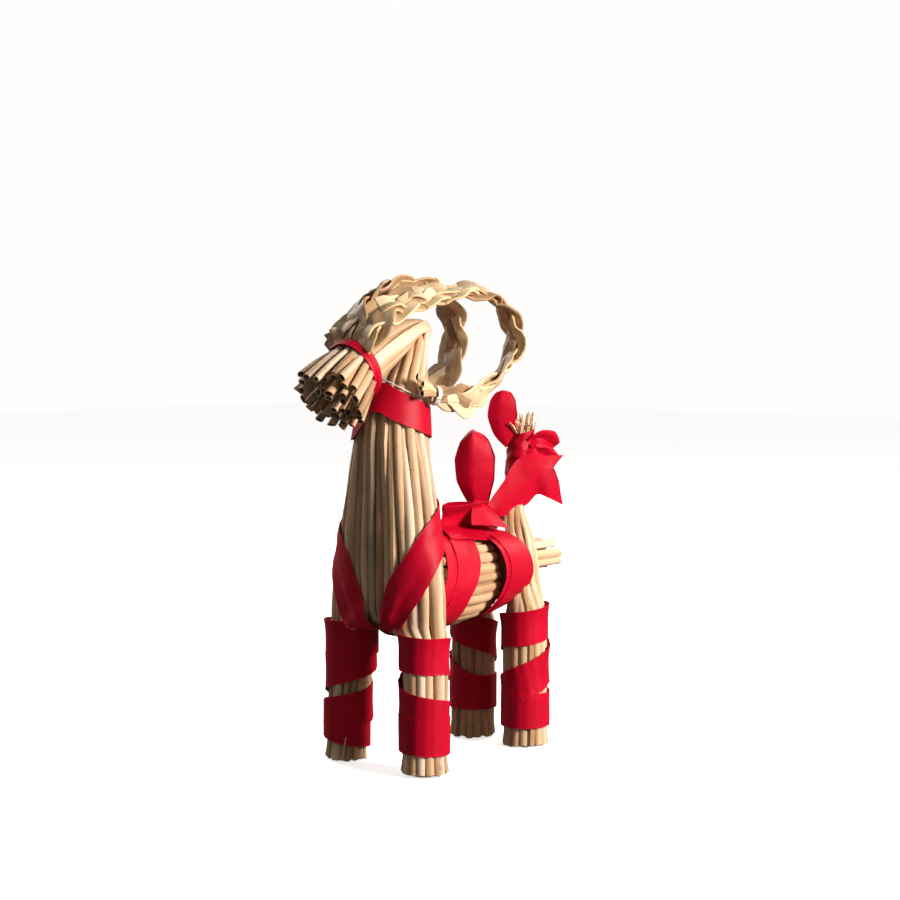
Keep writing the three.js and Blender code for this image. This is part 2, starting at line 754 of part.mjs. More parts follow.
// The thread that ties a horn's end: a narrow hoop round the pinched plait.
function hornThread(rows) {
  const [a, b] = [rows[rows.length - 2], rows[rows.length - 1]];
  const at = vec(a[0], a[1], a[2]).lerp(vec(b[0], b[1], b[2]), 0.8);
  const along = vec(b[0] - a[0], b[1] - a[1], b[2] - a[2]).normalize();
  const up = vec(0, 0, 1).addScaledVector(along, -along.z).normalize();
  const across = up.clone().cross(along).normalize();
  return hoop(at, across, up, 2.9, 4.4, 1.2, 0.8, 10);
}

function muzzleRibbon(width, thick) {
  const up = vec(0, -Math.sin(ringTilt), Math.cos(ringTilt));
  return hoop(ringCentre, vec(1, 0, 0), up, 12.9, 13.1, width, thick, 18);
}

// The straws give way where a ribbon is drawn tight.
const foreBundle = foreStrawBody
  .subtract(muzzleRibbon(5.2, 1.7))
  .subtract(union([chestArm(1, 1.1, 0.6), chestArm(-1, 1.1, 0.6)]));
const hindBundle = hindStrawBody
  .subtract(bodyLoft(clearance, 0))
  .subtract(bodyBand(rearBand, 1.1, 0.6));

addPart('fore_bundle', foreBundle, 0xd9b380, 0.6);
addPart('body_bundle', bodySolid, 0xd9b380, 0.6);
addPart('hind_bundle', hindBundle, 0xd9b380, 0.6);
addPart('horn_left', hornSolid(nearHorn), 0xe0bd88, 0.6);
addPart('horn_right', hornSolid(farHorn), 0xe0bd88, 0.6);
addPart('collar_ribbon', neckRibbon(collarHeight, 12.6, ribbonThick, 1.0, 24), 0xc80f1e, 0.4);
addPart('chest_ribbon', union([chestArm(1), chestArm(-1)]), 0xc80f1e, 0.4);
Object.entries(windings).forEach(([name, [table, side, start, sense, heights]]) => {
  addPart(name, legRibbon(table, side, heights, start, sense), 0xc80f1e, 0.4);
});
addPart('front_body_band', bodyBand(frontBand), 0xc80f1e, 0.4);
addPart('rear_body_band', bodyBand(rearBand), 0xc80f1e, 0.4);
addPart('back_bow', backBow(), 0xc80f1e, 0.4);
addPart('tail_bow', tailBow(), 0xc80f1e, 0.4);
addPart('muzzle_ribbon', muzzleRibbon(4.6, 0.9), 0xc80f1e, 0.4);
addPart('horn_thread_left', hornThread(nearHorn), 0xf2ede2, 0.8);
addPart('horn_thread_right', hornThread(farHorn), 0xf2ede2, 0.8);

const bounds = new THREE.Box3().setFromObject(group);
const middle = bounds.getCenter(vec(0, 0, 0));
group.children.forEach((part) => part.geometry.translate(-middle.x, -middle.y, -bounds.min.z));

export default group;
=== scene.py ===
import random
from math import copysign, cos, exp, pi, radians, sin

import bmesh
import bpy
import numpy as np
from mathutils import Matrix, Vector, noise


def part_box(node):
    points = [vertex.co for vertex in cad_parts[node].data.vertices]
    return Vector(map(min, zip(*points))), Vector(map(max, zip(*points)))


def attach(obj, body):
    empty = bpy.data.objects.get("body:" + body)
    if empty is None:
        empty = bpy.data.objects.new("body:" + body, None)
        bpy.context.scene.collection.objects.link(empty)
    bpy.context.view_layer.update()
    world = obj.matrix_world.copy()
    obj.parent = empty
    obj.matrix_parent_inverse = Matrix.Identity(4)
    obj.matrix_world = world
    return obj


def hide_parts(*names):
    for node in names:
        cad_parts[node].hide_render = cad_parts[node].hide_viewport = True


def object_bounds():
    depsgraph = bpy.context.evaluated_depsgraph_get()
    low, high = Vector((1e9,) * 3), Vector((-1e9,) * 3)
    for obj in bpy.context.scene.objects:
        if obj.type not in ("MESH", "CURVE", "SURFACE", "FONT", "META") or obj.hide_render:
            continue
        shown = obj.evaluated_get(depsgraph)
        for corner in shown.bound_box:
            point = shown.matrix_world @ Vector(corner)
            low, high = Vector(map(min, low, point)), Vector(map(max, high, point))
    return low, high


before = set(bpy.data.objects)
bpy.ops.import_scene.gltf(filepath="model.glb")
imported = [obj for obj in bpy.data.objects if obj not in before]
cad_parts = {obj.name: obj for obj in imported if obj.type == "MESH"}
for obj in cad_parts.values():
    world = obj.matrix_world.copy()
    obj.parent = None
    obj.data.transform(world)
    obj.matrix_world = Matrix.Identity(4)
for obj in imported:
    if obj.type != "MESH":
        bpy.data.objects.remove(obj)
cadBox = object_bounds()

# The goat is laid out in millimetres, with its front legs and hind legs either side of the middle.
# The body bundle's box gives the step from that layout to the frame.
bodyLow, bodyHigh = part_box("body_bundle")
layoutShift = np.array([(bodyLow[0] + bodyHigh[0]) / 2, bodyHigh[1] - 0.066, 0.0])


def toFrame(points):
    return np.asarray(points, dtype=float) * 0.001 + layoutShift


def smoothStep(x, low=0.0, high=1.0):
    t = min(1.0, max(0.0, (x - low) / (high - low)))
    return t * t * (3 - 2 * t)


def tableAt(table, key):
    # a soft curve through the rows of a table, read at one key
    table = np.array(table, dtype=float)
    keys, rows = table[:, 0], table[:, 1:]
    key = min(keys[-1], max(keys[0], key))
    i = max(0, int(np.searchsorted(keys, key)) - 1)
    span = keys[i + 1] - keys[i]
    t = (key - keys[i]) / span
    here, there = rows[i], rows[i + 1]
    slope = (there - here) / span
    before = after = slope
    if i > 0:
        before = (there - rows[i - 1]) / (keys[i + 1] - keys[i - 1])
        before = np.where((here - rows[i - 1]) * slope <= 0, 0, before)
    if i + 2 < len(keys):
        after = (rows[i + 2] - here) / (keys[i + 2] - keys[i])
        after = np.where((rows[i + 2] - there) * slope <= 0, 0, after)
    left = (2 * t ** 3 - 3 * t ** 2 + 1) * here + (t ** 3 - 2 * t ** 2 + t) * span * before
    return left + (3 * t ** 2 - 2 * t ** 3) * there + (t ** 3 - t ** 2) * span * after


def runOf(points):
    # the length run at each point of a path
    return np.concatenate([[0], np.cumsum(np.linalg.norm(np.diff(points, axis=0), axis=1))])


def pathThrough(rows, count):
    # even steps along a round curve through the rows, where between the rows each lies, and the length
    points = np.array([row[:3] for row in rows], dtype=float)
    wide = np.vstack([2 * points[0] - points[1], points, 2 * points[-1] - points[-2]])
    dense, places = [], []
    for i in range(len(points) - 1):
        p0, p1, p2, p3 = wide[i:i + 4]
        t1 = max(1e-6, np.linalg.norm(p1 - p0)) ** 0.5
        t2 = t1 + max(1e-6, np.linalg.norm(p2 - p1)) ** 0.5
        t3 = t2 + max(1e-6, np.linalg.norm(p3 - p2)) ** 0.5
        for step in range(24):
            t = t1 + (t2 - t1) * step / 24
            a1 = p0 * (t1 - t) / t1 + p1 * t / t1
            a2 = p1 * (t2 - t) / (t2 - t1) + p2 * (t - t1) / (t2 - t1)
            a3 = p2 * (t3 - t) / (t3 - t2) + p3 * (t - t2) / (t3 - t2)
            b1 = a1 * (t2 - t) / t2 + a2 * t / t2
            b2 = a2 * (t3 - t) / (t3 - t1) + a3 * (t - t1) / (t3 - t1)
            dense.append(b1 * (t2 - t) / (t2 - t1) + b2 * (t - t1) / (t2 - t1))
            places.append(i + step / 24)
    dense, places = np.array([*dense, points[-1]]), [*places, len(points) - 1.0]
    run = runOf(dense)
    wanted = np.linspace(0, run[-1], count + 1)
    even = np.stack([np.interp(wanted, run, dense[:, k]) for k in range(3)], axis=1)
    return even, np.interp(wanted, run, places), run[-1]


def unit(v):
    v = np.asarray(v, dtype=float)
    return v / np.maximum(1e-12, np.linalg.norm(v, axis=-1, keepdims=True))


def tangentsOf(points):
    return unit(np.gradient(np.asarray(points), axis=0))


def roundAngles(count):
    return [i / count * 2 * pi for i in range(count)]


def newPiece():
    bm = bmesh.new()
    bm.loops.layers.uv.new("lay")
    # tone and grey are the straw's own colour; the third layer is painted shade
    for layer in ("tone", "grey", "paintedShade"):
        bm.verts.layers.float.new(layer)
    return bm


def rollGrid(bm, rings, lengths, tone=0.5, grey=0.0, paintedShade=None, closeAround=True, closeAlong=False):
    # a grid rolled or laid through rows of points, its seam and its poles merged
    rings = np.asarray(rings, dtype=float)
    rows, across = rings.shape[0], rings.shape[1]
    segments = across if closeAround else across - 1
    steps = rows if closeAlong else rows - 1
    made = bmesh.ops.create_grid(bm, x_segments=segments, y_segments=steps, size=0.5)["verts"]
    layLayer = bm.loops.layers.uv["lay"]
    toneLayer, greyLayer, paintedShadeLayer = (bm.verts.layers.float[layer] for layer in ("tone", "grey", "paintedShade"))
    for face in {face for vert in made for face in vert.link_faces}:
        for loop in face.loops:
            row = int(round((loop.vert.co.y + 0.5) * steps))
            v = lengths[row] if row < rows else 2 * lengths[-1] - lengths[-2]
            loop[layLayer].uv = (loop.vert.co.x + 0.5, v * 0.1)
    for vert in made:
        column = int(round((vert.co.x + 0.5) * segments)) % across
        row = int(round((vert.co.y + 0.5) * steps)) % rows
        vert[toneLayer] = tone
        vert[greyLayer] = grey
        vert[paintedShadeLayer] = paintedShade[row] if paintedShade else 0.0
        vert.co = rings[row, column]
    if closeAround or closeAlong:
        bmesh.ops.remove_doubles(bm, verts=made, dist=0.0004)


def finishPiece(bm, name, material, nodes, sharp=40.0):
    bmesh.ops.recalc_face_normals(bm, faces=bm.faces[:])
    mesh = bpy.data.meshes.new(name)
    bm.to_mesh(mesh)
    bm.free()
    flat = np.empty(len(mesh.vertices) * 3)
    mesh.vertices.foreach_get("co", flat)
    mesh.vertices.foreach_set("co", toFrame(flat.reshape(-1, 3)).ravel())
    mesh.shade_smooth()
    mesh.set_sharp_from_angle(angle=radians(sharp))
    mesh.update()
    mesh.materials.append(material)
    piece = bpy.data.objects.new(name, mesh)
    bpy.context.scene.collection.objects.link(piece)
    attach(piece, "root")
    if nodes:
        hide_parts(*nodes)
    return piece


def feed(tree, node, inputs):
    # a socket is linked, a plain value is set
    for key, value in inputs.items():
        if isinstance(value, bpy.types.NodeSocket):
            tree.links.new(value, node.inputs[key])
        else:
            node.inputs[key].default_value = value


def addNode(tree, kind, inputs=None, output=0, **settings):
    node = tree.nodes.new(kind)
    for key, value in settings.items():
        setattr(node, key, value)
    feed(tree, node, inputs or {})
    return node.outputs[output]


def newMaterial(name):
    material = bpy.data.materials.new(name)
    material.use_nodes = True
    tree = material.node_tree
    tree.nodes.clear()
    shader = tree.nodes.new("ShaderNodeBsdfPrincipled")
    output = tree.nodes.new("ShaderNodeOutputMaterial")
    tree.links.new(shader.outputs["BSDF"], output.inputs["Surface"])
    return material, tree, shader


def addMath(tree, operation, *values):
    return addNode(tree, "ShaderNodeMath", dict(enumerate(values)), operation=operation)


def addNoise(tree, vector, scale, detail, roughness=0.5):
    inputs = {"Vector": vector, "Scale": scale, "Detail": detail, "Roughness": roughness}
    return addNode(tree, "ShaderNodeTexNoise", inputs, output="Fac")


def addWave(tree, vector, scale, distortion, direction):
    return addNode(tree, "ShaderNodeTexWave", {"Vector": vector, "Scale": scale, "Distortion": distortion},
                   output="Fac", wave_type="BANDS", bands_direction=direction)


def addMix(tree, factor, first, second):
    return addNode(tree, "ShaderNodeMix", {0: factor, 6: first, 7: (*second, 1)}, output=2, data_type="RGBA")


def addRamp(tree, factor, stops):
    ramp = addNode(tree, "ShaderNodeValToRGB", {"Fac": factor})
    elements = ramp.node.color_ramp.elements
    while len(elements) > 1:
        elements.remove(elements[-1])
    for i, (place, colour) in enumerate(stops):
        stop = elements[0] if i == 0 else elements.new(place)
        stop.position = place
        stop.color = (*colour, 1)
    return ramp


def addStep(tree, factor, low, high):
    return addRamp(tree, factor, [(0.0, (0, 0, 0)), (low, (0, 0, 0)), (high, (1, 1, 1))])


def addBump(tree, height, strength, distance):
    return addNode(tree, "ShaderNodeBump", {"Strength": strength, "Distance": distance, "Height": height})


def layOf(tree):
    # round and along a straw, or across and along a ribbon
    lay = addNode(tree, "ShaderNodeUVMap", uv_map="lay")
    return lay, addNode(tree, "ShaderNodeSeparateXYZ", {"Vector": lay}).node.outputs


strawLook = {
    "deep": (0.21, 0.105, 0.042),
    "tan": (0.47, 0.265, 0.125),
    "gold": (0.69, 0.44, 0.25),
    "cream": (0.86, 0.64, 0.455),
    "grey": (0.41, 0.31, 0.21),
    # painted shade: the dark colour for inside a straw's mouth and for the cores
    "inside": (0.085, 0.042, 0.018),
    "spot": (0.20, 0.09, 0.033),
    "roughness": 0.5,
    "fibre": 40.5,
}
plaitLook = dict(strawLook, gold=(0.78, 0.57, 0.31), cream=(0.88, 0.72, 0.47), roughness=0.46, fibre=58.5)


def strawMaterial(name, look):
    material, tree, shader = newMaterial(name)
    _, lay = layOf(tree)
    tone, grey, paintedShade = (addNode(tree, "ShaderNodeAttribute", output="Fac", attribute_name=layer)
                          for layer in ("tone", "grey", "paintedShade"))
    # long fibres: fine round the straw, slow along it, and different on each straw
    grain = addNode(tree, "ShaderNodeCombineXYZ", {
        "X": lay["X"],
        "Y": addMath(tree, "MULTIPLY", lay["Y"], 0.06),
        "Z": addMath(tree, "MULTIPLY", tone, 41.0),
    })
    where = addNode(tree, "ShaderNodeTexCoord", output="Object")
    fibres = addNoise(tree, grain, look["fibre"], 4.0, 0.62)
    broad = addNoise(tree, grain, 7.0, 2.0)
    patches = addNoise(tree, where, 55.0, 3.0, 0.6)
    shade = tone
    for pattern, weight in ((fibres, 0.34), (broad, 0.42), (patches, 0.5)):
        shade = addMath(tree, "ADD", shade, addMath(tree, "MULTIPLY_ADD", pattern, weight, -weight / 2))
    shade.node.use_clamp = True
    colour = addRamp(tree, shade, [
        (0.0, look["deep"]), (0.28, look["tan"]), (0.6, look["gold"]), (0.95, look["cream"]),
    ])
    colour = addMix(tree, grey, colour, look["grey"])
    blots = addStep(tree, addNoise(tree, where, 420.0, 2.0), 0.66, 0.74)
    colour = addMix(tree, addMath(tree, "MULTIPLY", blots, 0.4), colour, look["spot"])
    feed(tree, shader, {
        # the third attribute mixes in the dark inside colour as painted shade
        "Base Color": addMix(tree, paintedShade, colour, look["inside"]),
        "Roughness": addMath(tree, "MULTIPLY_ADD", fibres, 0.3, look["roughness"] - 0.15),
        "Normal": addBump(tree, fibres, 0.55, 0.00022),
        "Specular IOR Level": 0.42,
    })
    return material


ribbonLook = {
    "red": (0.56, 0.0010, 0.022),
    "deep": (0.40, 0.0006, 0.014),
    "edge": (0.62, 0.002, 0.026),
}


def ribbonMaterial(name, look):
    material, tree, shader = newMaterial(name)
    both, lay = layOf(tree)
    # satin float threads run along the ribbon, and their streaks are painted into the colour as sheen; the
    # weft shows as very fine ribs across it
    warp = addNode(tree, "ShaderNodeCombineXYZ", {
        "X": addMath(tree, "MULTIPLY", lay["X"], 60.0),
        "Y": addMath(tree, "MULTIPLY", lay["Y"], 3.0),
    })
    floatsAndSheen = addNoise(tree, warp, 1.0, 3.0, 0.6)
    ribs = addWave(tree, both, 9.0, 0.4, "Y")
    cloudy = addNoise(tree, addNode(tree, "ShaderNodeTexCoord", output="Object"), 70.0, 2.0)
    fromMiddle = addMath(tree, "ABSOLUTE", addMath(tree, "SUBTRACT", lay["X"], 0.5))
    edge = addStep(tree, fromMiddle, 0.462, 0.474)
    amount = addMath(tree, "MULTIPLY", floatsAndSheen, cloudy)
    # darker red streaks along the satin paint its sheen, with random cloudy tone mixed in
    colour = addRamp(tree, amount, [(0.12, look["deep"]), (0.4, look["red"])])
    height = addMath(tree, "ADD", addMath(tree, "MULTIPLY_ADD", ribs, 0.5, floatsAndSheen), edge)
    feed(tree, shader, {
        "Base Color": addMix(tree, addMath(tree, "MULTIPLY", edge, 0.5), colour, look["edge"]),
        "Roughness": addMath(tree, "MULTIPLY_ADD", floatsAndSheen, 0.14, 0.38),
        "Normal": addBump(tree, height, 0.25, 0.00012),
        "Specular IOR Level": 0.14,
        "Sheen Weight": 0.02,
        "Sheen Roughness": 0.4,
        "Sheen Tint": (1.0, 0.25, 0.3, 1),
    })
    return material


def threadMaterial(name):
    material, tree, shader = newMaterial(name)
    ply = addWave(tree, layOf(tree)[0], 4.0, 1.0, "DIAGONAL")
    feed(tree, shader, {
        "Base Color": addRamp(tree, ply, [(0.0, (0.62, 0.58, 0.5)), (0.7, (0.9, 0.88, 0.83))]),
        "Normal": addBump(tree, ply, 0.5, 0.0001),
        "Roughness": 0.8,
    })
    return material


strawSkin = strawMaterial("bundleStraw", strawLook)
plaitSkin = strawMaterial("plaitStraw", plaitLook)
satin = ribbonMaterial("redSatin", ribbonLook)
thread = threadMaterial("cottonThread")
print("materials made")

# a straw's cut mouth, from inside out: scale, step inward, painted shade inside the mouth
strawMouth = ((0.0, 3.2, 1.0), (0.66, 3.0, 1.0), (0.7, 0.25, 0.75), (0.86, 0.0, 0.0), (1.0, 0.12, 0.0))


def addStraw(bm, points, outs, widths, thicks, rng, sides=9, tone=0.5, grey=0.0,
             openStart=False, openEnd=False, slant=0.25, knees=(), flat=1.0):
    points = np.asarray(points, dtype=float)
    count = len(points)
    along = tangentsOf(points)
    outs = np.broadcast_to(np.asarray(outs, dtype=float), points.shape)
    outs = unit(outs - (outs * along).sum(axis=1)[:, None] * along)
    sideways = np.cross(along, outs)
    widths, thicks = (np.broadcast_to(np.asarray(size, dtype=float), (count,)) for size in (widths, thicks))
    run = runOf(points)
    for place, swell in knees:
        knee = np.exp(-((run - place) / 1.1) ** 2) * swell
        widths, thicks = widths + knee, thicks + knee
    angles = -pi / 2 + np.arange(sides) / sides * 2 * pi
    dent = rng.uniform(0, 2 * pi)
    shape = 1 + 0.035 * np.cos(2 * (angles - dent)) + 0.02 * np.cos(3 * (angles + dent))
    across, up = np.cos(angles) * shape, np.sin(angles) * shape
    if flat < 1:
        # a pressed straw: flat faces, tight edges and a shallow crease down each face
        up = np.sign(up) * np.abs(up) ** flat * (1 - 0.3 * np.exp(-(across / 0.3) ** 2))
    lean = rng.uniform(0, 2 * pi)

    def ring(i, scale=1.0, shift=0.0, cut=0.0):
        body = sideways[i] * (widths[i] / 2 * across)[:, None] + outs[i] * (thicks[i] / 2 * up)[:, None]
        tilt = np.cos(angles - lean) * cut * widths[i] / 2
        return points[i] + along[i] * shift + (body + along[i] * tilt[:, None]) * scale

    def endRows(i, sign, isOpen):
        if isOpen:
            return [(ring(i, scale, sign * shift, slant), run[i] - sign * (1 - shift * 0.1), dark)
                    for scale, shift, dark in strawMouth]
        # a closed end's tip is painted a little darker as shade
        return [(np.repeat(points[i:i + 1], sides, axis=0), run[i] - sign, 0.3), (ring(i), run[i], 0.0)]

    rows = endRows(0, 1, openStart) + [(ring(i), run[i], 0.0) for i in range(1, count - 1)]
    rings, lengths, paintedShade = zip(*rows, *endRows(count - 1, -1, openEnd)[::-1])
    rollGrid(bm, rings, lengths, tone, grey, paintedShade)


def addCore(bm, rings, lengths):
    # a core, painted dark as shade, keeps the gaps between straws closed
    rings = [np.array(ring, dtype=float) for ring in rings]
    first, last = (np.repeat(ring.mean(axis=0)[None], len(ring), axis=0) for ring in (rings[0], rings[-1]))
    rollGrid(bm, [first, *rings, last], [lengths[0], *lengths, lengths[-1]], 0.16,
             paintedShade=[0.55] * (len(rings) + 2))


def strawTone(rng):
    tone = min(0.92, max(0.12, rng.gauss(0.5, 0.2)))
    if rng.random() < 0.12:
        tone = rng.uniform(0.12, 0.26)
    grey = rng.uniform(0.4, 0.8) if rng.random() < 0.13 else rng.uniform(0, 0.18)
    return tone, grey


def strawKnees(rng, length):
    places = []
    at = rng.uniform(20, 120)
    while at < length - 6:
        places.append((at, rng.uniform(0.25, 0.6)))
        at += rng.uniform(70, 140)
    return places


def strawPath(start, finish, steps, bend=0.0):
    return [start + (finish - start) * t + bend * sin(t * pi) for t in steps]


def wander(rng, keys, amount, wave):
    # a slow sideways drift along a straw
    keys = np.asarray(keys, dtype=float) * 2 * pi / wave
    drift = 0
    for size, shorter in ((0.6, 1), (0.3, 0.53), (0.15, 0.29)):
        drift = drift + size * np.sin(keys / shorter + rng.uniform(0, 2 * pi))
    return drift * amount


def evenAngle(fraction, a, b):
    # the angle on half an ellipse, from -90 to 90 degrees, that is this fraction of the way along its rim
    t = np.linspace(-pi / 2, pi / 2, 61)
    run = runOf(np.stack([a * np.cos(t), b * np.sin(t)], axis=1))
    return float(np.interp((fraction + 1) / 2 * run[-1], run, t))


def innerStraws(bm, rng, side, leg, lean):
    # straws inside a leg, seen at its cut end
    for ring, radius in ((9, 5.4), (3, 1.9)):
        for i in range(ring):
            angle = (i + rng.uniform(-0.15, 0.15)) / ring * 2 * pi + radius
            out = np.array([side * cos(angle), sin(angle), 0.0])
            start = np.array([side * leg[3], leg[4], rng.uniform(0.5, 1.3)]) + out * radius
            path = strawPath(start, start * [1, 1, 0] + lean, (0, 0.15, 0.5, 1))
            tone, grey = strawTone(rng)
            addStraw(bm, path, out, 3.5, 3.5, rng, tone=tone, grey=grey, openStart=True)


foreLeg = {
    # height, outer half width, half depth, middle x, middle y
    "rows": [
        (0, 10.6, 10.4, 22.2, -36.5), (8, 9.6, 9.6, 22, -36.3), (46, 9.7, 9.7, 20.4, -34.6),
        (57.2, 10, 10.4, 20.2, -34.4), (62, 10, 10.6, 20.2, -34.3),
    ],
    "rightSlim": 0.86,
    "straws": 16,
    "insideLean": (0.6, 0.6, 26.0),
    "keys": [0.2, 2, 7, 14, 24, 34, 44, 50, 54, 57, 60, 63, 66, 72, 80, 90, 101, 112, 123, 134, 144, 152, 160,
             167, 173, 178, 181, 184, 188, 193, 199, 206, 214, 221, 226],
    "core": (6, 12, 24, 36, 48, 56, 62),
    "coreInset": 3.1,
}

foreSpine = {
    # way along, y, z, turn of the bundle's back from level, half width, half depth
    "rows": [
        (58, -34.2, 58, 0, 30.2, 12.4), (60.2, -34.2, 60.2, 0, 29.8, 12.8), (72, -34, 72, 0, 29.1, 13.7),
        (88, -33.5, 88, 0, 26.8, 14), (120, -32.4, 120, 0, 20.4, 14.3), (142, -31.3, 142, 0, 15.8, 15),
        (158, -28.6, 158, 2, 14, 12), (170, -24.8, 170, 14, 13, 7.6), (177.5, -22.4, 177.2, 34, 12.4, 5),
        (183, -21.2, 181, 66, 12, 3.4), (190, -26.2, 179.6, 102, 12.6, 4.6),
        (197.5, -33, 176.2, 112, 13, 7.4), (209, -43, 170.6, 114, 12.4, 10),
        (219, -51.6, 165, 114, 11.2, 11.4), (226, -57.4, 161.4, 120, 11.0, 11.0),
    ],
    "crease": 183,
    "width": 3.8,
    "headWidth": 4.5,
    "headThick": 3.1,
    "core": (56, 62, 70, 82, 96, 112, 128, 142, 154, 164, 172, 178, 182, 187, 194, 203, 213, 222),
}


def legSlim(side, z):
    # the right front leg is the thinner one, low down
    slim = foreLeg["rightSlim"]
    return slim + (1 - slim) * smoothStep(z / 46) if side < 0 else 1.0


def forePoint(side, fraction, s, inset):
    # centre of a straw and the way it faces, inset from the bundle's skin
    y, z, turn, a, b = tableAt(foreSpine["rows"], s)
    turn = radians(turn)
    a, b = max(0.3, a - inset), max(0.3, b - inset)
    t = evenAngle(fraction, a, b)
    up = np.array([0.0, cos(turn), sin(turn)])
    neck = np.array([side * a * cos(t), y, z]) + up * b * sin(t)
    neckOut = unit(np.array([side * cos(t) / a, 0.0, 0.0]) + up * sin(t) / b)
    if s >= 66:
        return neck, neckOut
    la, lb, cx, cy = tableAt(foreLeg["rows"], s)
    slim = legSlim(side, s)
    angle = fraction * pi
    legOut = np.array([side * cos(angle), sin(angle), 0.0])
    leg = np.array([side * cx, cy, s]) + legOut * [la * slim - inset, lb * slim - inset, 0]
    within = smoothStep(abs(fraction), 0.6, 0.85)
    met = smoothStep(s, 50 + 6 * within, 60 + 4 * within)
    return leg + (neck - leg) * met, unit(legOut + (neckOut - legOut) * met)


def makeForeStraws():
    bm = newPiece()
    rng = random.Random(11)
    total = foreLeg["straws"]
    for side in (1, -1):
        for i in range(total):
            fraction = ((i + 0.5) / total) * 2 - 1
            rank = i % 2
            keys = [rng.uniform(0.5, 1.1), *foreLeg["keys"][1:]]
            points, outs, widths, thicks = [], [], [], []
            across = wander(rng, keys, 0.16 / total, 90)
            depth = wander(rng, keys, 0.35, 70) - rng.uniform(0, 1) ** 2 * 1.1
            tone, grey = strawTone(rng)
            size = rng.uniform(0.9, 1.08)
            headWidth = foreSpine["headWidth"] * (1.28 if i % 4 == 0 else 0.86)
            for k, s in enumerate(keys):
                crease = exp(-((s - foreSpine["crease"]) / 7) ** 2)
                headward = smoothStep(s, 186, 200)
                squeeze = 1 - 0.1 * (1 - smoothStep(s, 46, 66)) - (0.06 if side < 0 and s < 46 else 0)
                thick = foreSpine["width"] * size * (1 - 0.1 * smoothStep(s, 70, 165)) * squeeze
                widths.append(thick + (headWidth - thick) * max(headward, crease))
                thick = thick + (foreSpine["headThick"] - thick) * headward
                thick = thick + (1.1 - thick) * crease
                sink = rank * (2.3 * smoothStep(s, 105, 160) * (1 - crease) + 0.5 * crease)
                sink += 1.3 * exp(-((s - 56) / 4) ** 2) * smoothStep(abs(fraction), 0.4, 0.7)
                sink += 1.1 * headward * (i % 4 == 2) + 1.2 * headward * rank
                point, out = forePoint(side, fraction + across[k], s, thick / 2 + sink)
                points.append(point + out * depth[k] * (1 - 0.6 * crease))
                outs.append(out)
                thicks.append(thick)
            addStraw(bm, points, outs, widths, thicks, rng, tone=tone, grey=grey, openStart=True,
                     knees=strawKnees(rng, runOf(points)[-1]))
        innerStraws(bm, rng, side, foreLeg["rows"][0], np.array(foreLeg["insideLean"]) * [-side, 1, 1])
    for side in (1, -1):
        rings = []
        for s in foreLeg["core"]:
            skin = [forePoint(side, k / 9 - 1, min(s, 52), foreLeg["coreInset"])[0] for k in range(18)]
            rings.append([[x, y, s] for x, y, _ in skin])
        addCore(bm, rings, foreLeg["core"])
    rings = []
    for s in foreSpine["core"]:
        y, z, turn, a, b = tableAt(foreSpine["rows"], s)
        inset = 3.0 - 1.3 * exp(-((s - foreSpine["crease"]) / 10) ** 2)
        up = np.array([0.0, cos(radians(turn)), sin(radians(turn))])
        rings.append([np.array([(a - inset) * cos(t), y, z]) + up * max(0.4, b - inset) * sin(t)
                      for t in roundAngles(24)])
    addCore(bm, rings, foreSpine["core"])
    return bm


# the bundle's free ends, fanned out past the ribbon
muzzleFan = {
    "root": (0, -56.0, 161.7),
    "tilt": 42,
    # straws in the row, radius at the root and at the ends
    "rows": [(18, 9.7, 14.6), (15, 7.2, 12.2), (12, 4.9, 9.4), (8, 2.8, 6.2), (4, 1.0, 3.0)],
    "length": 14.4,
    "lengthSpread": 5.4,
    "width": 3.55,
}


def makeMuzzle(bm):
    rng = random.Random(5)
    tilt = radians(muzzleFan["tilt"])
    axis = np.array([0, -cos(tilt), -sin(tilt)])
    up = np.array([0, -sin(tilt), cos(tilt)])
    root = np.array(muzzleFan["root"])
    for row, (count, near, far) in enumerate(muzzleFan["rows"]):
        for i in range(count):
            t = (i + row * 0.4 + rng.uniform(-0.16, 0.16)) / count * 2 * pi
            long = muzzleFan["length"] + rng.uniform(-0.5, 0.5) * muzzleFan["lengthSpread"] + row * 0.7
            out = np.array([cos(t), 0, 0]) + up * sin(t)
            start = root + out * near - axis * 4.5
            finish = root + out * (far + rng.uniform(-1.4, 1.2)) + axis * long
            finish += np.cross(axis, out) * rng.uniform(-1.5, 1.5)
            path = strawPath(start, finish, (0, 0.25, 0.5, 0.75, 0.96, 1), bend=out * rng.uniform(-0.4, 0.6))
            tone, grey = strawTone(rng)
            width = muzzleFan["width"] * rng.uniform(0.82, 1.12)
            thick = width * rng.uniform(0.78, 1.0)
            # each inner row of the fan is painted a little darker as shade
            addStraw(bm, path, out, [width * k for k in (0.8, 0.92, 1, 1, 1.03, 1.05)],
                     [thick * k for k in (0.9, 1, 1, 1, 0.95, 0.92)], rng, sides=10,
                     tone=tone - 0.05 * row, grey=grey, openEnd=True, slant=rng.uniform(0, 0.45))


foreStraws = makeForeStraws()
makeMuzzle(foreStraws)
finishPiece(foreStraws, "foreStraws", strawSkin, ["fore_bundle"])
print("fore straws, head and muzzle made")

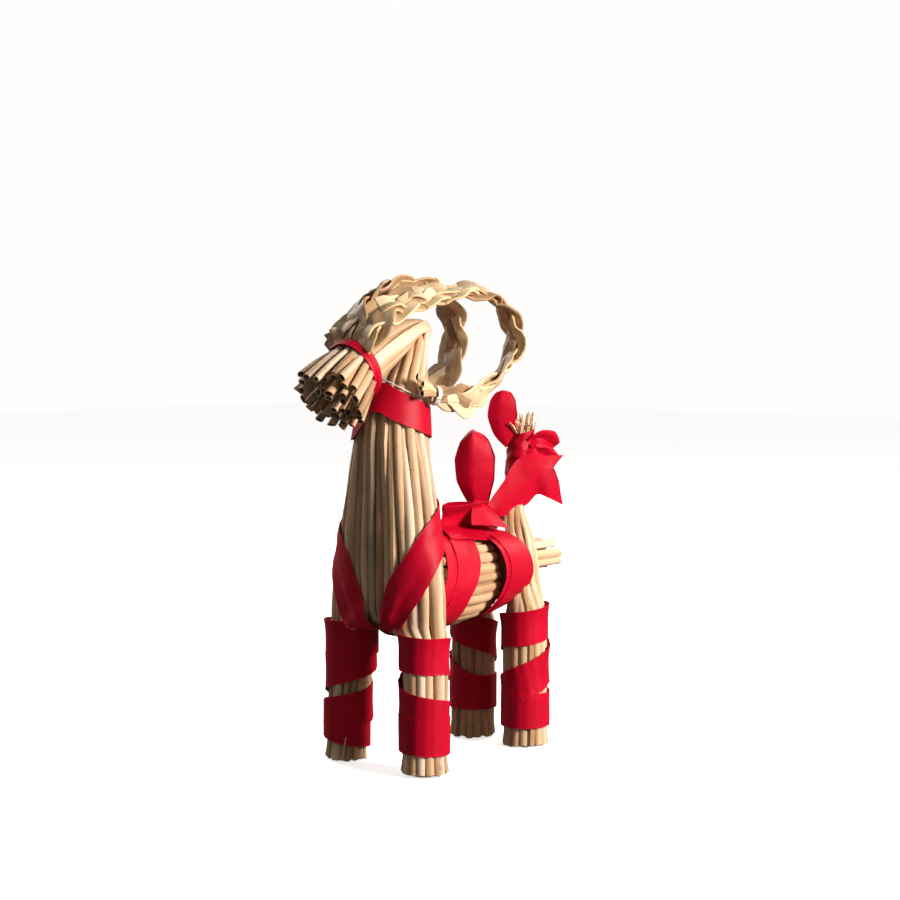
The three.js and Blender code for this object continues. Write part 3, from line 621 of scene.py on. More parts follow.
bodyRoll = {
    # along y: half width, half height, middle height
    "rows": [
        (-22, 18.4, 19.9, 74.5), (-8, 19.2, 20.4, 74.4), (8, 18.9, 20, 74.2), (19, 17.8, 17.6, 75.2),
        (27, 14, 14.6, 77), (36, 12.6, 11.6, 79.4), (47, 11.4, 8.4, 81),
    ],
    "straws": 25,
    "width": 4.5,
    "startY": -17.0,
    "flankEnd": 18.6,
    # cut ends past the hind legs: x, z, end y
    "stubs": [
        (9, 77, 66), (9.2, 81, 66), (8.6, 85, 64), (-9, 77.4, 65), (-9, 81.5, 63.5), (-8.4, 85.4, 64.5),
        (4.6, 75.8, 63), (0.4, 76.4, 65), (-4.4, 76, 64), (4.6, 80.2, 65.5), (0.2, 81, 63), (-4.2, 80.4, 66),
        (4.2, 84.4, 62.5), (0, 85.6, 65), (-4, 84.8, 63),
    ],
    # along y: inset of the core
    "core": ((-16, 4.4), (-8, 4), (2, 3.6), (10, 3.4), (16, 3.4), (19, 2.2), (22, -1), (26, -0.6), (30, 3),
             (44, 5)),
}


def makeBody():
    bm = newPiece()
    rng = random.Random(23)
    total = bodyRoll["straws"]
    for i in range(total):
        fraction = (i + rng.uniform(-0.1, 0.1)) / total * 2 * pi
        flank = abs(sin(fraction)) > 0.5
        end = bodyRoll["flankEnd"] + rng.uniform(-1.2, 0.9) if flank else 42 + rng.uniform(-2, 2)
        start = bodyRoll["startY"] + rng.uniform(-0.6, 0.6)
        keys = [*np.linspace(start, end - 2.6, 12), end - 1.5, end - 0.6, end]
        drift = wander(rng, keys, 0.03, 60)
        depth = wander(rng, keys, 0.35, 50) - rng.uniform(0, 0.7)
        width = bodyRoll["width"] * rng.uniform(0.86, 1.08)
        points, outs = [], []
        for k, y in enumerate(keys):
            a, b, z = tableAt(bodyRoll["rows"], y)
            a, b = (max(a, 17.6) if flank else a) - width / 2, b - width / 2
            t = fraction + drift[k]
            points.append([(a + depth[k]) * sin(t), y, z + (b + depth[k]) * cos(t)])
            outs.append([sin(t) / a, 0, cos(t) / b])
        tone, grey = strawTone(rng)
        taper = np.array([1.0] * 12 + [0.94, 0.78, 0.5])
        addStraw(bm, points, outs, width * taper, width * 0.92 * taper, rng, tone=min(0.95, tone + 0.12),
                 grey=grey, knees=strawKnees(rng, 84))
        # a deeper straw under each one carries on to the rear; its tone is painted darker as shade
        t = fraction + pi / total
        points = []
        for y in np.linspace(-10, 44, 12):
            a, b, z = tableAt(bodyRoll["rows"], y)
            points.append([(a - 4.2) * sin(t), y, z + (b - 4.2) * cos(t)])
        tone, grey = strawTone(rng)
        addStraw(bm, points, [sin(t), 0, cos(t)], 3.8, 3.4, rng, sides=7, tone=tone * 0.8, grey=grey)
    for x, z, end in bodyRoll["stubs"]:
        lean = rng.uniform(-0.5, 0.5)
        path = [[x * 0.95, 38, z - lean], [x, 46, z], [x * 1.02, 54, z + lean * 0.4],
                [x * 1.04, end - 0.5, z + lean], [x * 1.04, end, z + lean]]
        tone, grey = strawTone(rng)
        width = rng.uniform(3.5, 4.1)
        addStraw(bm, path, [x + 0.3, 0, (z - 81) * 1.5 + 0.2], width, width * rng.uniform(0.78, 0.98), rng,
                 sides=10, tone=min(0.95, tone + 0.15), grey=grey * 0.6, openEnd=True,
                 slant=rng.uniform(0.05, 0.4))
    rings = []
    for y, inset in bodyRoll["core"]:
        a, b, z = tableAt(bodyRoll["rows"], y)
        rings.append([[(a - inset) * sin(t), y, z + (b - max(1.6, inset)) * cos(t)] for t in roundAngles(20)])
    addCore(bm, rings, [y + 20 for y, _ in bodyRoll["core"]])
    return bm


finishPiece(makeBody(), "bodyStraws", strawSkin, ["body_bundle"])
print("body straws made")

# hind legs that pass the body and meet as the tail
hindRoll = {
    "rows": [
        (0, 10.2, 10.6, 15.2, 36.5), (8, 9.5, 9.6, 15.1, 36.5), (52, 9.3, 9.6, 14.7, 36.5),
        (62, 6.6, 10, 16.4, 35), (74, 4.2, 8.8, 17.8, 32.4), (85, 4.2, 8, 15.6, 33.6),
        (93, 4.6, 6.8, 9.4, 38), (100, 4.6, 5.4, 4.6, 42.6), (109, 4.6, 4.8, 1.6, 46.6),
        (132, 4.6, 4.6, 0.8, 51), (144, 5.6, 5.4, 0.4, 53),
    ],
    # the two halves as one round tail: height, half width, half depth, middle y
    "tail": [(90, 6.6, 5.4, 37), (100, 5.9, 4.9, 42.9), (109, 5.1, 4.4, 47.2), (132, 4.7, 4.2, 51.4),
             (146, 6.8, 6.0, 53.8)],
    "straws": 16,
    "width": 3.75,
    "top": (134.0, 140.0),
    "keys": [0.2, 2, 7, 15, 26, 38, 48, 54, 60, 66, 72, 78, 84, 88, 92, 96, 100, 105, 111, 118, 125, 131],
    "core": (6, 14, 26, 40, 50, 58, 66),
    "tailCore": (100, 106, 114, 124, 134),
}


def hindPoint(side, fraction, z, inset):
    a, b, cx, cy = tableAt(hindRoll["rows"], z)
    angle = fraction * pi
    a, b = max(0.5, a - inset), max(0.5, b - inset)
    leg = np.array([side * (cx + a * cos(angle)), cy + b * sin(angle), z])
    legOut = unit([side * cos(angle) / a, sin(angle) / b, 0.0])
    if z <= 92:
        return leg, legOut
    a, b, y = tableAt(hindRoll["tail"], z)
    a, b = max(0.3, a - inset), max(0.3, b - inset)
    t = evenAngle(fraction, a, b)
    tail = np.array([side * a * cos(t), y + b * sin(t), z])
    tailOut = unit([side * cos(t) / a, sin(t) / b, 0.0])
    met = smoothStep(z, 92, 108)
    return leg + (tail - leg) * met, unit(legOut + (tailOut - legOut) * met)


def makeHind():
    bm = newPiece()
    rng = random.Random(37)
    total = hindRoll["straws"]
    for side in (1, -1):
        for i in range(total):
            fraction = ((i + 0.5) / total) * 2 - 1
            rank = i % 2
            keys = [z for z in hindRoll["keys"] if rank == 0 or z <= 84]
            keys[0] = rng.uniform(0.5, 1.2)
            if rank == 0:
                top = rng.uniform(*hindRoll["top"])
                keys += [top - 0.4, top]
            across = wander(rng, keys, 0.2 / total, 70)
            depth = wander(rng, keys, 0.2, 60)
            size = rng.uniform(0.93, 1.06)
            points, outs, widths, thicks = [], [], [], []
            for k, z in enumerate(keys):
                w = hindRoll["width"] * size * (1 - 0.1 * smoothStep(z, 60, 130))
                thick = w * (1 - 0.35 * smoothStep(z, 60, 74) * (1 - smoothStep(z, 95, 110)))
                sink = rank * 1.6 * smoothStep(z, 56, 74)
                point, out = hindPoint(side, fraction + across[k], z, thick / 2 + sink)
                points.append(point + out * depth[k])
                outs.append(out)
                widths.append(w)
                thicks.append(thick)
            tone, grey = strawTone(rng)
            addStraw(bm, points, outs, widths, thicks, rng, tone=tone, grey=grey, openStart=True,
                     openEnd=rank == 0, knees=strawKnees(rng, 140 if rank == 0 else 84))
        innerStraws(bm, rng, side, hindRoll["rows"][0], [0, 0, 26.0])
        rings = [[hindPoint(side, k / 9 - 1, z, 3.1)[0] for k in range(18)] for z in hindRoll["core"]]
        addCore(bm, rings, hindRoll["core"])
    rings = []
    for z in hindRoll["tailCore"]:
        a, b, y = tableAt(hindRoll["tail"], z)
        rings.append([[(a - 2.8) * cos(t), y + (b - 2.8) * sin(t), z] for t in roundAngles(12)])
    addCore(bm, rings, hindRoll["tailCore"])
    return bm


def frayTail(bm):
    # split, pale ends that spread at the tip of the tail
    rng = random.Random(19)
    for i in range(34):
        t = rng.uniform(0, 2 * pi)
        near, spread, up = rng.uniform(0.5, 4.6), rng.uniform(0.8, 4.6), rng.uniform(4, 10)
        out = np.array([cos(t), sin(t), 0.0])
        start = np.array([0.3, 52.2, 133.5]) + out * near
        finish = start + out * spread + np.array([0, 0, up])
        curl = np.cross(out, [0, 0, 1]) * rng.uniform(-1.4, 1.4)
        path = [start + (finish - start) * k + curl * k * k for k in (0, 0.3, 0.6, 0.85, 1)]
        width = rng.uniform(1.2, 2.6)
        addStraw(bm, path, out + [0, 0, 0.3], [width * k for k in (1, 1.1, 1, 0.7, 0.15)], 0.45, rng, sides=6,
                 tone=rng.uniform(0.85, 0.98), slant=0.0)


hindStraws = makeHind()
frayTail(hindStraws)
finishPiece(hindStraws, "hindStraws", strawSkin, ["hind_bundle"])
print("hind straws and tail made")

horns = {
    "left": {
        "seed": 3,
        # x, y, z, roll of the plait in degrees, fullness
        "rows": [
            (7.6, -55.6, 170.6, -6, 0.8), (7.8, -53.4, 176.2, 0, 1.15), (8, -47, 183.8, 12, 1.25),
            (8, -40.2, 188, 24, 1.2), (8, -27.8, 192, 36, 1), (8.6, -15, 193.4, 30, 1),
            (10.2, -2.4, 195, 10, 1), (12.6, 8.8, 195.4, 30, 1), (15, 17.4, 191.4, 30, 1),
            (17.4, 22.4, 184, 18, 1), (18.4, 24.4, 175, 15, 1), (18, 21, 166.6, 25, 1),
            (17.4, 13.4, 158.6, 45, 1), (17.4, 2.6, 153, 65, 1), (17.6, -7.4, 150.4, 85, 0.95),
            (18, -17, 151.8, 85, 0.75), (17.8, -27, 153.4, 80, 0.42),
        ],
        "stubs": [],
    },
    "right": {
        "seed": 8,
        "rows": [
            (-4.6, -56.4, 172.4, 4, 0.8), (-4.8, -53.2, 178, 0, 1.2), (-5, -47.4, 185, -12, 1.3),
            (-5.6, -40.4, 191.4, -24, 1), (-6.4, -29, 196, -36, 1), (-7.4, -12, 197.4, -30, 1),
            (-9, 4.6, 196.4, -10, 1), (-12.4, 17, 190.4, 0, 1), (-16, 24.4, 180, 0, 1), (-17, 25, 169, 0, 1),
            (-16.8, 19, 160.4, -10, 1), (-17, 8.6, 155, -40, 1), (-17.4, -4, 151.4, -75, 0.95),
            (-17.8, -15.6, 151.6, -85, 0.75), (-17.6, -26.4, 153.2, -80, 0.42),
        ],
        # cut ends behind the muzzle ribbon
        "stubs": [
            ((-8.4, -52.4, 170.5), (-12.6, -55.6, 178.2)), ((-6.4, -53, 171.5), (-9.8, -55.6, 180)),
            ((-10, -51.6, 168.5), (-14.6, -54.2, 175)), ((-7, -50.4, 173), (-11.4, -52, 180.4)),
        ],
    },
}

# three strands, each of two flattened straws side by side
plait = {
    "pitch": 46.0, "reach": 3.7, "lift": 1.4, "stepsPerTurn": 34,
    "strawWide": 4.9, "strawThick": 1.3, "apart": 2.05, "coreWide": 6.8, "coreThick": 2.2,
    "loose": ((0.6, -6.4, 4.4), (-0.8, -8, 7.4), (1.4, -7.6, 0.6), (0.2, -7, 2.6)),
}


def makeHorn(rows, seed, stubs):
    bm = newPiece()
    rng = random.Random(seed)
    length = pathThrough(rows, 10)[2]
    turns = length / plait["pitch"]
    count = int(turns * plait["stepsPerTurn"])
    points, places, _ = pathThrough(rows, count)
    roll, full = (np.interp(places, range(len(rows)), [row[k] for row in rows])[:, None] for k in (3, 4))
    along = tangentsOf(points)
    face = unit(np.cross([1.0, 0, 0], along))
    wide = unit(np.cross(along, face)) * np.cos(np.radians(roll)) - face * np.sin(np.radians(roll))
    out = unit(np.cross(along, wide))
    u = np.linspace(0, 1, count + 1)

    def stray(amount, wave):
        return wander(rng, u * length, amount, wave)[:, None]

    # a dark straw along the middle of the plait, painted dark as shade in the gaps between strands
    addStraw(bm, points, out, plait["coreWide"] * full[:, 0], plait["coreThick"] * full[:, 0], rng, sides=10,
             tone=0.15, grey=0.1)
    for k in range(3):
        phase = ((u * turns + k / 3) * 2 * pi)[:, None]
        # the strand runs straight across and turns sharply at the edge
        swing = 2 / pi * np.arcsin(0.997 * np.sin(phase)) * 1.03
        middle = points + wide * full * (plait["reach"] * swing + stray(0.45, 31))
        middle = middle + out * full * plait["lift"] * np.sin(phase * 2)
        face = unit(out + wide * stray(0.2, 17))
        side = unit(np.cross(tangentsOf(middle), face))
        for sign in (-1, 1):
            strawFace = unit(face + side * (stray(0.12, 23) + 0.2 * sign))
            line = middle + side * full * (sign * plait["apart"] + stray(0.3, 25))
            line = line + face * full * (stray(0.16, 21) + 0.14 * sign)
            strawWide = (plait["strawWide"] * (0.3 + 0.7 * full) * (1 + stray(0.1, 22)))[:, 0]
            strawThick = (plait["strawThick"] * (1 + stray(0.15, 19)))[:, 0]
            # spliced from shorter straws, each with its own colour and a slit end
            start = -rng.randint(0, 12)
            while start < count:
                stop = start + rng.randint(17, 34)
                cut = slice(max(0, start), min(count + 1, stop + 3))
                n = cut.stop - cut.start
                if n > 4:
                    tone, grey = strawTone(rng)
                    ends, rise = np.ones(n), np.zeros(n)
                    if stop < count:
                        ends[-3:] = [0.85, 0.55, 0.12]
                        rise[-5:] = np.linspace(0, 0.3, 5)
                    addStraw(bm, line[cut] + strawFace[cut] * rise[:, None], strawFace[cut],
                             strawWide[cut] * ends, strawThick[cut] * (0.4 + 0.6 * ends), rng, sides=12,
                             tone=tone, grey=min(0.75, grey * 1.2), slant=0.1, flat=0.4)
                start = stop
    # loose ends past the thread
    outward = copysign(1, rows[-1][0])
    back = points[-4]
    for x, y, z in plait["loose"]:
        finish = points[-1] + [outward * x, y, z]
        path = strawPath(back, finish, (0, 0.3, 0.6, 0.85, 0.97, 1), bend=np.array([outward * 0.5, 0, 0.6]))
        tone, grey = strawTone(rng)
        addStraw(bm, path, [1.0, 0, 0.2], [2.4, 2.6, 2.8, 3.1, 3.2, 3.2], 2.1, rng,
                 tone=tone, grey=grey, openEnd=True)
    for root, end in stubs:
        path = strawPath(np.array(root), np.array(end), (0, 0.4, 0.8, 0.96, 1))
        tone = strawTone(rng)[0]
        addStraw(bm, path, [0.1, -0.6, 0.8], 3.9, 2.6, rng, sides=10, tone=tone * 0.8, grey=0.45,
                 openEnd=True)
    return bm


for side, spec in horns.items():
    horn = makeHorn(spec["rows"], spec["seed"], spec["stubs"])
    finishPiece(horn, side + "Horn", plaitSkin, ["horn_" + side])
print("plaited horns made")

ribbonCut = {"flatWidth": 15.0, "thick": 0.2, "across": 10}


def addStrip(bm, rows, closed, width, ripple, seed, cupped=None, notch=None):
    middles, wides, faces = (np.array([row[k] for row in rows], dtype=float) for k in range(3))
    wides, faces = unit(wides), unit(faces)
    scales = np.array([row[3] if len(row) > 3 else 1.0 for row in rows])
    across = np.linspace(-1, 1, ribbonCut["across"] + 1)
    run = runOf(middles)
    rings = []
    for i, place in enumerate(run):
        line = []
        for u in across:
            lift = cupped(place / run[-1], u) if cupped else 0.0
            wave = noise.noise(Vector((place * 0.11 + seed * 7.3, u * 0.9, seed * 3.1)))
            wave += 0.5 * noise.noise(Vector((place * 0.3 + seed * 2.7, u * 2.2, seed * 5.9)))
            line.append(middles[i] + wides[i] * width * scales[i] / 2 * u + faces[i] * (lift + ripple * wave))
        rings.append(line)
    rings = np.array(rings)
    if notch:
        # the cut end runs in to a notch, part of the way across
        depth, where = notch
        start = run[-1] * 0.6
        for k, u in enumerate(across):
            reach = (1 + u) / (1 + where) if u < where else (1 - u) / (1 - where)
            kept = 1 - depth * reach / (run[-1] - start)
            wanted = np.where(run < start, run, start + (run - start) * kept)
            for c in range(3):
                rings[:, k, c] = np.interp(wanted, run, rings[:, k, c])
    rollGrid(bm, rings, run, closeAround=False, closeAlong=closed)
    length = run[-1] + (np.linalg.norm(middles[0] - middles[-1]) if closed else 0.0)
    return float(length * width * scales.mean())


def layRibbon(name, rows, node, held, restsOn, width, ripple, seed, closed=False, cupped=None, notch=None,
              more=(), thick=ribbonCut["thick"]):
    # rows: middle, width direction, facing, width scale; the strip is laid through them as a sheet
    bm = newPiece()
    area = addStrip(bm, rows, closed, width, ripple, seed, cupped, notch)
    for turn in more:
        area += addStrip(bm, turn["rows"], closed, turn["width"], turn["ripple"], turn["seed"])
    bmesh.ops.recalc_face_normals(bm, faces=bm.faces[:])
    bmesh.ops.solidify(bm, geom=bm.faces[:], thickness=thick)
    piece = finishPiece(bm, name, satin, [node], sharp=55)


def stripRows(rows, wide, count, origin=(0, 0, 0)):
    # rows: x, y, z from the origin, width scale
    points, places, _ = pathThrough(rows, count)
    scales = np.interp(places, range(len(rows)), [row[3] for row in rows])
    along = tangentsOf(points)
    wides = unit(wide - (along @ wide)[:, None] * along)
    return list(zip(points + origin, wides, np.cross(along, wides), scales))


def ruledRows(pairs, count):
    # pairs: a point of one edge, and of the other
    first, second = (pathThrough([pair[k] for pair in pairs], count)[0] for k in (0, 1))
    middle, wide = (first + second) / 2, first - second
    return list(zip(middle, wide, np.cross(tangentsOf(middle), wide), np.linalg.norm(wide, axis=1) / 15))


# turns made, height of the ribbon's middle
legWindings = {
    "front_leg_ribbon_left": [
        (0, 50.6), (0.25, 50), (0.5, 49), (0.75, 47.4), (1, 38), (1.25, 29.3), (1.75, 22.2), (2, 18.5),
        (2.25, 17.4), (2.75, 16), (3, 16.4),
    ],
    "front_leg_ribbon_right": [
        (0, 53), (0.25, 52.6), (0.75, 52), (1, 50.5), (1.25, 46.2), (1.75, 37.5), (2, 30), (2.25, 25),
        (2.75, 18.4), (3, 15.6), (3.25, 13.4), (3.75, 17.8), (4, 18),
    ],
    "hind_leg_ribbon_left": [
        (0, 54.6), (0.25, 54.2), (0.5, 52), (0.75, 49.7), (1, 43), (1.25, 36.5), (1.75, 22.6), (2, 19),
        (2.25, 16.6), (2.75, 16.2), (3, 16),
    ],
    "hind_leg_ribbon_right": [
        (0, 54.6), (0.25, 53.1), (0.5, 47.9), (0.75, 42.5), (1, 34), (1.25, 28.5), (1.5, 21.4), (1.75, 20.8),
        (3, 20.6),
    ],
}


def legRows(front, side, heights):
    table = foreLeg["rows"] if front else hindRoll["rows"]
    turns = heights[-1][0]
    count = int(turns * 56)
    middles, faces = [], []
    for i in range(count + 1):
        turn = turns * i / count
        angle = (2.3 if side > 0 else 0.85) + (1 if front else -1) * turn * 2 * pi
        z = tableAt(heights, turn)[0]
        a, b, cx, cy = tableAt(table, z)
        slim = legSlim(side, z) if front else 1.0
        gap = 0.22 + 0.27 * turn + 0.1 * cos(angle * 16)
        gap += (0.6 if side < 0 else 0.25) * smoothStep(z, 46, 53)
        face = np.array([side * cos(angle), sin(angle), 0.0])
        middles.append([side * cx, cy, z] + face * [a * slim + gap, b * slim + gap, 0])
        faces.append(face)
    rows = []
    for middle, face, direction in zip(middles, faces, tangentsOf(middles)):
        wide = unit(np.array([0.0, 0, 1]) - 0.85 * direction[2] * direction)
        across = np.cross(direction, wide)
        rows.append([middle, wide, across * copysign(1, across @ face)])
    return rows


def topFlare(turns):
    # the first turn's upper edge opens where the bundle grows wider
    return lambda way, u: 0.7 * max(0.0, u) ** 2 * (1 - smoothStep(way * turns, 0.9, 1.4))


for node, heights in legWindings.items():
    end, _, _, hand = node.split("_")
    front, side = end == "front", 1 if hand == "left" else -1
    name = end + "LegRibbon" + hand.capitalize()
    layRibbon(name, legRows(front, side, heights), node, "stretched",
              ["foreStraws" if front else "hindStraws"], width=14.8, ripple=0.1, seed=len(name) + side,
              cupped=topFlare(heights[-1][0]))
print("leg ribbons wound")


def turned(angle):
    return (angle + pi) % (2 * pi) - pi


def neckPoint(angle, z, gap):
    # way round the neck from the front, height, distance off the straws
    y, _, _, a, b = tableAt(foreSpine["rows"], z)
    return np.array([(a + gap) * sin(angle), y - (b + gap) * cos(angle), z])


collar = {
    "width": 12.6,
    "gap": 0.45,
    # way round from the front, height
    "heights": [(-3.15, 140.6), (-1, 140.4), (-0.35, 143.4), (0.05, 151.4), (0.3, 152.4), (0.78, 149.3),
                (1.46, 145.2), (2.2, 142), (3.15, 140.6)],
}
rows = []
for angle in roundAngles(110):
    z = tableAt(collar["heights"], turned(angle))[0]
    _, _, _, a, b = tableAt(foreSpine["rows"], z)
    low, middle, high = (neckPoint(angle, z + collar["width"] * k, collar["gap"]) for k in (-0.5, 0, 0.5))
    a, b = a + collar["gap"], b + collar["gap"]
    rows.append([middle, high - low, [sin(angle) / a, -cos(angle) / b, 0.0]])
layRibbon("collarRibbon", rows, "collar_ribbon", "stretched", ["foreStraws"], width=collar["width"],
          ripple=0.1, seed=4, closed=True)

# each arm: its upper and its lower edge, as way round the neck from the front and height, or as a point
chestArms = {
    "chestRibbonLeft": {
        "gap": 0.85,
        "edges": [
            ((3.4, 113), (3.4, 99)), ((2.7, 112.5), (2.65, 98)), ((2.12, 109.5), (2.1, 93.5)),
            ((1.6, 105.5), (1.75, 88.5)), ((1.2, 99.5), (1.42, 83.5)), ((0.9, 93), (1.2, 78.5)),
            ((0.65, 86.5), (0.98, 72)), ((0.44, 79.5), (0.8, 65.5)), ((0.35, 71), (0.66, 60.6)),
            ((9.6, -48.4, 64.4), (15.8, -45, 58)), ((7.2, -46.4, 58.8), (12.4, -41.8, 57)),
            ((4.6, -42, 57.4), (9.4, -38, 57)), ((3.4, -34, 57.4), (8, -33, 57.2)),
        ],
    },
    "chestRibbonRight": {
        "gap": 0.5,
        "edges": [
            ((-3.4, 109), (-3.4, 96)), ((-2.4, 107), (-2.5, 94)), ((-1.6, 103), (-1.8, 89.5)),
            ((-1.1, 99.5), (-1.52, 86.5)), ((-0.72, 95), (-1.25, 84)), ((-0.37, 87), (-0.96, 78)),
            ((-0.14, 77), (-0.68, 68.5)), ((-0.02, 70), (-0.5, 61)),
            ((1.8, -49, 64), (-10.4, -47.6, 58.2)), ((3.6, -46.4, 59.4), (-6, -46, 58)),
            ((4, -42, 58), (-4.6, -42, 57.8)), ((4, -35, 58.6), (-4, -35, 58.6)),
        ],
    },
}


def chestRows(edges, gap, count=90):
    upper, lower, between = [], [], []
    for high, low in edges:
        onNeck = len(high) == 2
        upper.append(neckPoint(*high, gap) if onNeck else np.array(high))
        lower.append(neckPoint(*low, gap) if onNeck else np.array(low))
        halfway = (upper[-1] + lower[-1]) / 2
        between.append(neckPoint((high[0] + low[0]) / 2, (high[1] + low[1]) / 2, gap) if onNeck else halfway)
    upper, lower, between = (pathThrough(points, count)[0] for points in (upper, lower, between))
    wide = upper - lower
    face = unit(np.cross(tangentsOf(between), wide))
    outward = (between - np.array([0, -34, 80.0])) * [1, 1, 0.6]
    face = face * np.where((face * outward).sum(axis=1) < 0, -1, 1)[:, None]
    sag = ((between - (upper + lower) / 2) * face).sum(axis=1)
    return list(zip(between, wide, face, np.linalg.norm(wide, axis=1) / 15)), sag


def foldRise(way, u):
    # long soft folds that deepen where the arm is drawn in at its lower end
    deep = 0.12 + 0.5 * smoothStep(way, 0.5, 0.9)
    return deep * (cos(u * 4.4 + way * 7) + 0.4 * cos(u * 9 - way * 11))


for name, spec in chestArms.items():
    rows, sag = chestRows(spec["edges"], spec["gap"])
    ways = np.linspace(0, 1, len(sag))
    layRibbon(name, rows, "chest_ribbon", "stretched", ["foreStraws"], width=15, ripple=0.2, seed=len(name),
              cupped=lambda way, u: foldRise(way, u) - np.interp(way, ways, sag) * u * u)

# rows are way round from the top: y, half width, half height, middle height, lean
# under is a second turn that lies forward of the first
bodyBands = {
    "frontBodyBand": {
        "node": "front_body_band", "power": 1.0,
        "rows": [(0, 0, 20.8, 24.2, 73, -0.06), (0.5, -1, 20.8, 23, 73, -0.06),
                 (1.1, -4.4, 20.8, 21.2, 73, 0.04), (1.5, -8.6, 20.8, 21.4, 73, 0.1),
                 (1.9, -13, 20.8, 21.2, 73, 0.16),
                 (2.5, -14.4, 20.7, 19.9, 73, 0.12), (3.15, -15, 20.6, 19, 73, 0.06)],
        "under": {"forward": 6.4, "swing": 1.2, "sink": 0.2, "width": 14.5, "seed": 77},
    },
    "rearBodyBand": {
        "node": "rear_body_band", "power": 0.86,
        "rows": [(0, 22, 23, 17.7, 76.4, -0.06), (0.7, 24, 23, 17.6, 76.4, -0.04),
                 (1.5, 25, 23, 17.6, 76.4, 0), (2.2, 20.6, 22, 18.4, 76.4, 0.2),
                 (3.15, 17, 20.6, 19.6, 76.4, 0.3)],
        "under": {"forward": 3.4, "swing": 0, "sink": 0.25, "width": 13.5, "seed": 79},
    },
}
for name, spec in bodyBands.items():
    under = spec["under"]
    rows, underRows = [], []
    for angle in roundAngles(120):
        y, a, b, z, slope = tableAt(spec["rows"], abs(turned(angle)))
        s, c = (copysign(abs(part) ** spec["power"], part) for part in (sin(angle), cos(angle)))
        middle = np.array([a * s, y, z + b * c])
        turn = [[0, 1, slope], [sin(angle) / a, 0, cos(angle) / b]]
        rows.append([middle, *turn])
        step = [0, under["swing"] * cos(angle) - under["forward"], -under["sink"]]
        underRows.append([middle * [0.985, 1, 1] + step, *turn])
    layRibbon(name, rows, spec["node"], "stretched", ["bodyStraws"], width=14.5, ripple=0.3, seed=len(name),
              closed=True, more=[dict(rows=underRows, width=under["width"], ripple=0.25, seed=under["seed"])])
print("neck, chest and body ribbons laid")

backBow = {
    "knot": (1.5, 24.5, 100.2),
    # from the knot: x, y, z, width scale
    "loop": [
        (-0.4, -1.4, 1.5, 0.34), (-0.6, -3.6, 7, 0.62), (-0.6, -5.2, 15, 1.02), (-0.8, -5.4, 24, 1.1),
        (-1.4, -4.6, 31.5, 0.78), (-2.4, -3.4, 34.6, 0.36), (-3.2, -1.8, 31.5, 0.74), (-3.4, -0.4, 24, 1.02),
        (-2.8, 0.2, 14, 0.86), (-1.2, -0.2, 2, 0.34),
    ],
    "flatLoop": [
        (1, -1, 0.6, 0.6), (3.4, -6, 1.6, 0.74), (4.8, -14, 1.5, 0.78), (4.4, -23, 1.3, 0.76),
        (3, -31, 1.2, 0.7), (-0.6, -24, 1.6, 0.76), (-1, -12, 1.6, 0.72), (-0.4, -2, 0.6, 0.6),
    ],
    # upper edge and lower edge of each row, from the knot out
    "tail": [
        ((2.6, 26.6, 104.8), (2.6, 29.4, 99.2)), ((4, 29.6, 109.2), (3.6, 35.4, 98.8)),
        ((5.2, 34.6, 115.2), (5.2, 41.6, 100.6)), ((7, 40.4, 123), (7.2, 47.4, 103.4)),
        ((9.4, 45.6, 126), (9.6, 52.4, 107.4)), ((11.4, 53.4, 124.6), (11.6, 56.4, 105.8)),
        ((13, 65.4, 124.3), (13.2, 64.9, 102.2)),
    ],
    "drape": [
        ((3, 16.4, 107), (3, 23.4, 105)), ((6.4, 11.6, 105.4), (6.8, 23.6, 102.6)),
        ((9.4, 7.4, 101.6), (11, 24.6, 98.8)), ((11.6, 4.8, 97.6), (15.4, 24.2, 95)),
    ],
    # the ribbon that runs along the back from one body band to the other
    "backFrom": (5.4, -9, 97.2),
    "backTo": (8.6, 26, 93.8),
}
# the upright loops of both bows are spread in one direction
loopWide = np.array([0.75, 0.66, 0])


def leaf(ridge, at=-0.22):
    # a crease down a folded loop, nearer one edge
    def rise(way, u):
        across = (u + 1) / (at + 1) if u < at else (1 - u) / (1 - at)
        return ridge * across ** 0.85 * sin(pi * min(1.0, max(0.0, way))) ** 0.5
    return rise


def knotRibbon(name, node, centre, axis, radius, width, seed):
    # the turn of ribbon that holds a bow, drawn in at both rims
    side = unit(np.cross(axis, [0.3, 0.2, 0.9] if axis[2] < 0.9 else [1.0, 0.1, 0]))
    up = np.cross(axis, side)
    rows = []
    for t in roundAngles(40):
        out = side * cos(t) + up * sin(t)
        rows.append([centre + out * radius * (1 + 0.1 * sin(3 * t)), axis, out])
    layRibbon(name, rows, node, "folded", ["bodyStraws"], width=width, ripple=0.5, seed=seed, closed=True,
              cupped=lambda way, u: 0.7 * (1 - u * u) + 0.3 * sin(u * 9) - (radius - 0.5) * abs(u) ** 4)


knot = np.array(backBow["knot"])
layRibbon("backBowLoop", stripRows(backBow["loop"], loopWide, 72, knot), "back_bow", "folded",
          ["backBowKnot"], width=15.4, ripple=0.3, seed=12, cupped=leaf(-2.8))
layRibbon("backBowFlatLoop", stripRows(backBow["flatLoop"], np.array([0.5, 0, 0.86]), 60, knot), "back_bow",
          "folded", ["bodyStraws"], width=15, ripple=0.5, seed=21,
          cupped=lambda way, u: 0.8 * sin(u * 3 + way * 4))
layRibbon("backBowDrape", ruledRows(backBow["drape"], 20), "back_bow", "folded", ["bodyStraws"],
          width=15, ripple=0.3, seed=15, cupped=lambda way, u: -0.9 * (1 - abs(u)))
layRibbon("backBowTail", ruledRows(backBow["tail"], 44), "back_bow", "folded", ["backBowKnot"],
          width=15, ripple=0.35, seed=18, notch=(7.0, 0.42),
          cupped=lambda way, u: 0.5 * cos(u * 2.2) + 0.9 * exp(-((way - 0.62) / 0.08) ** 2) * u)
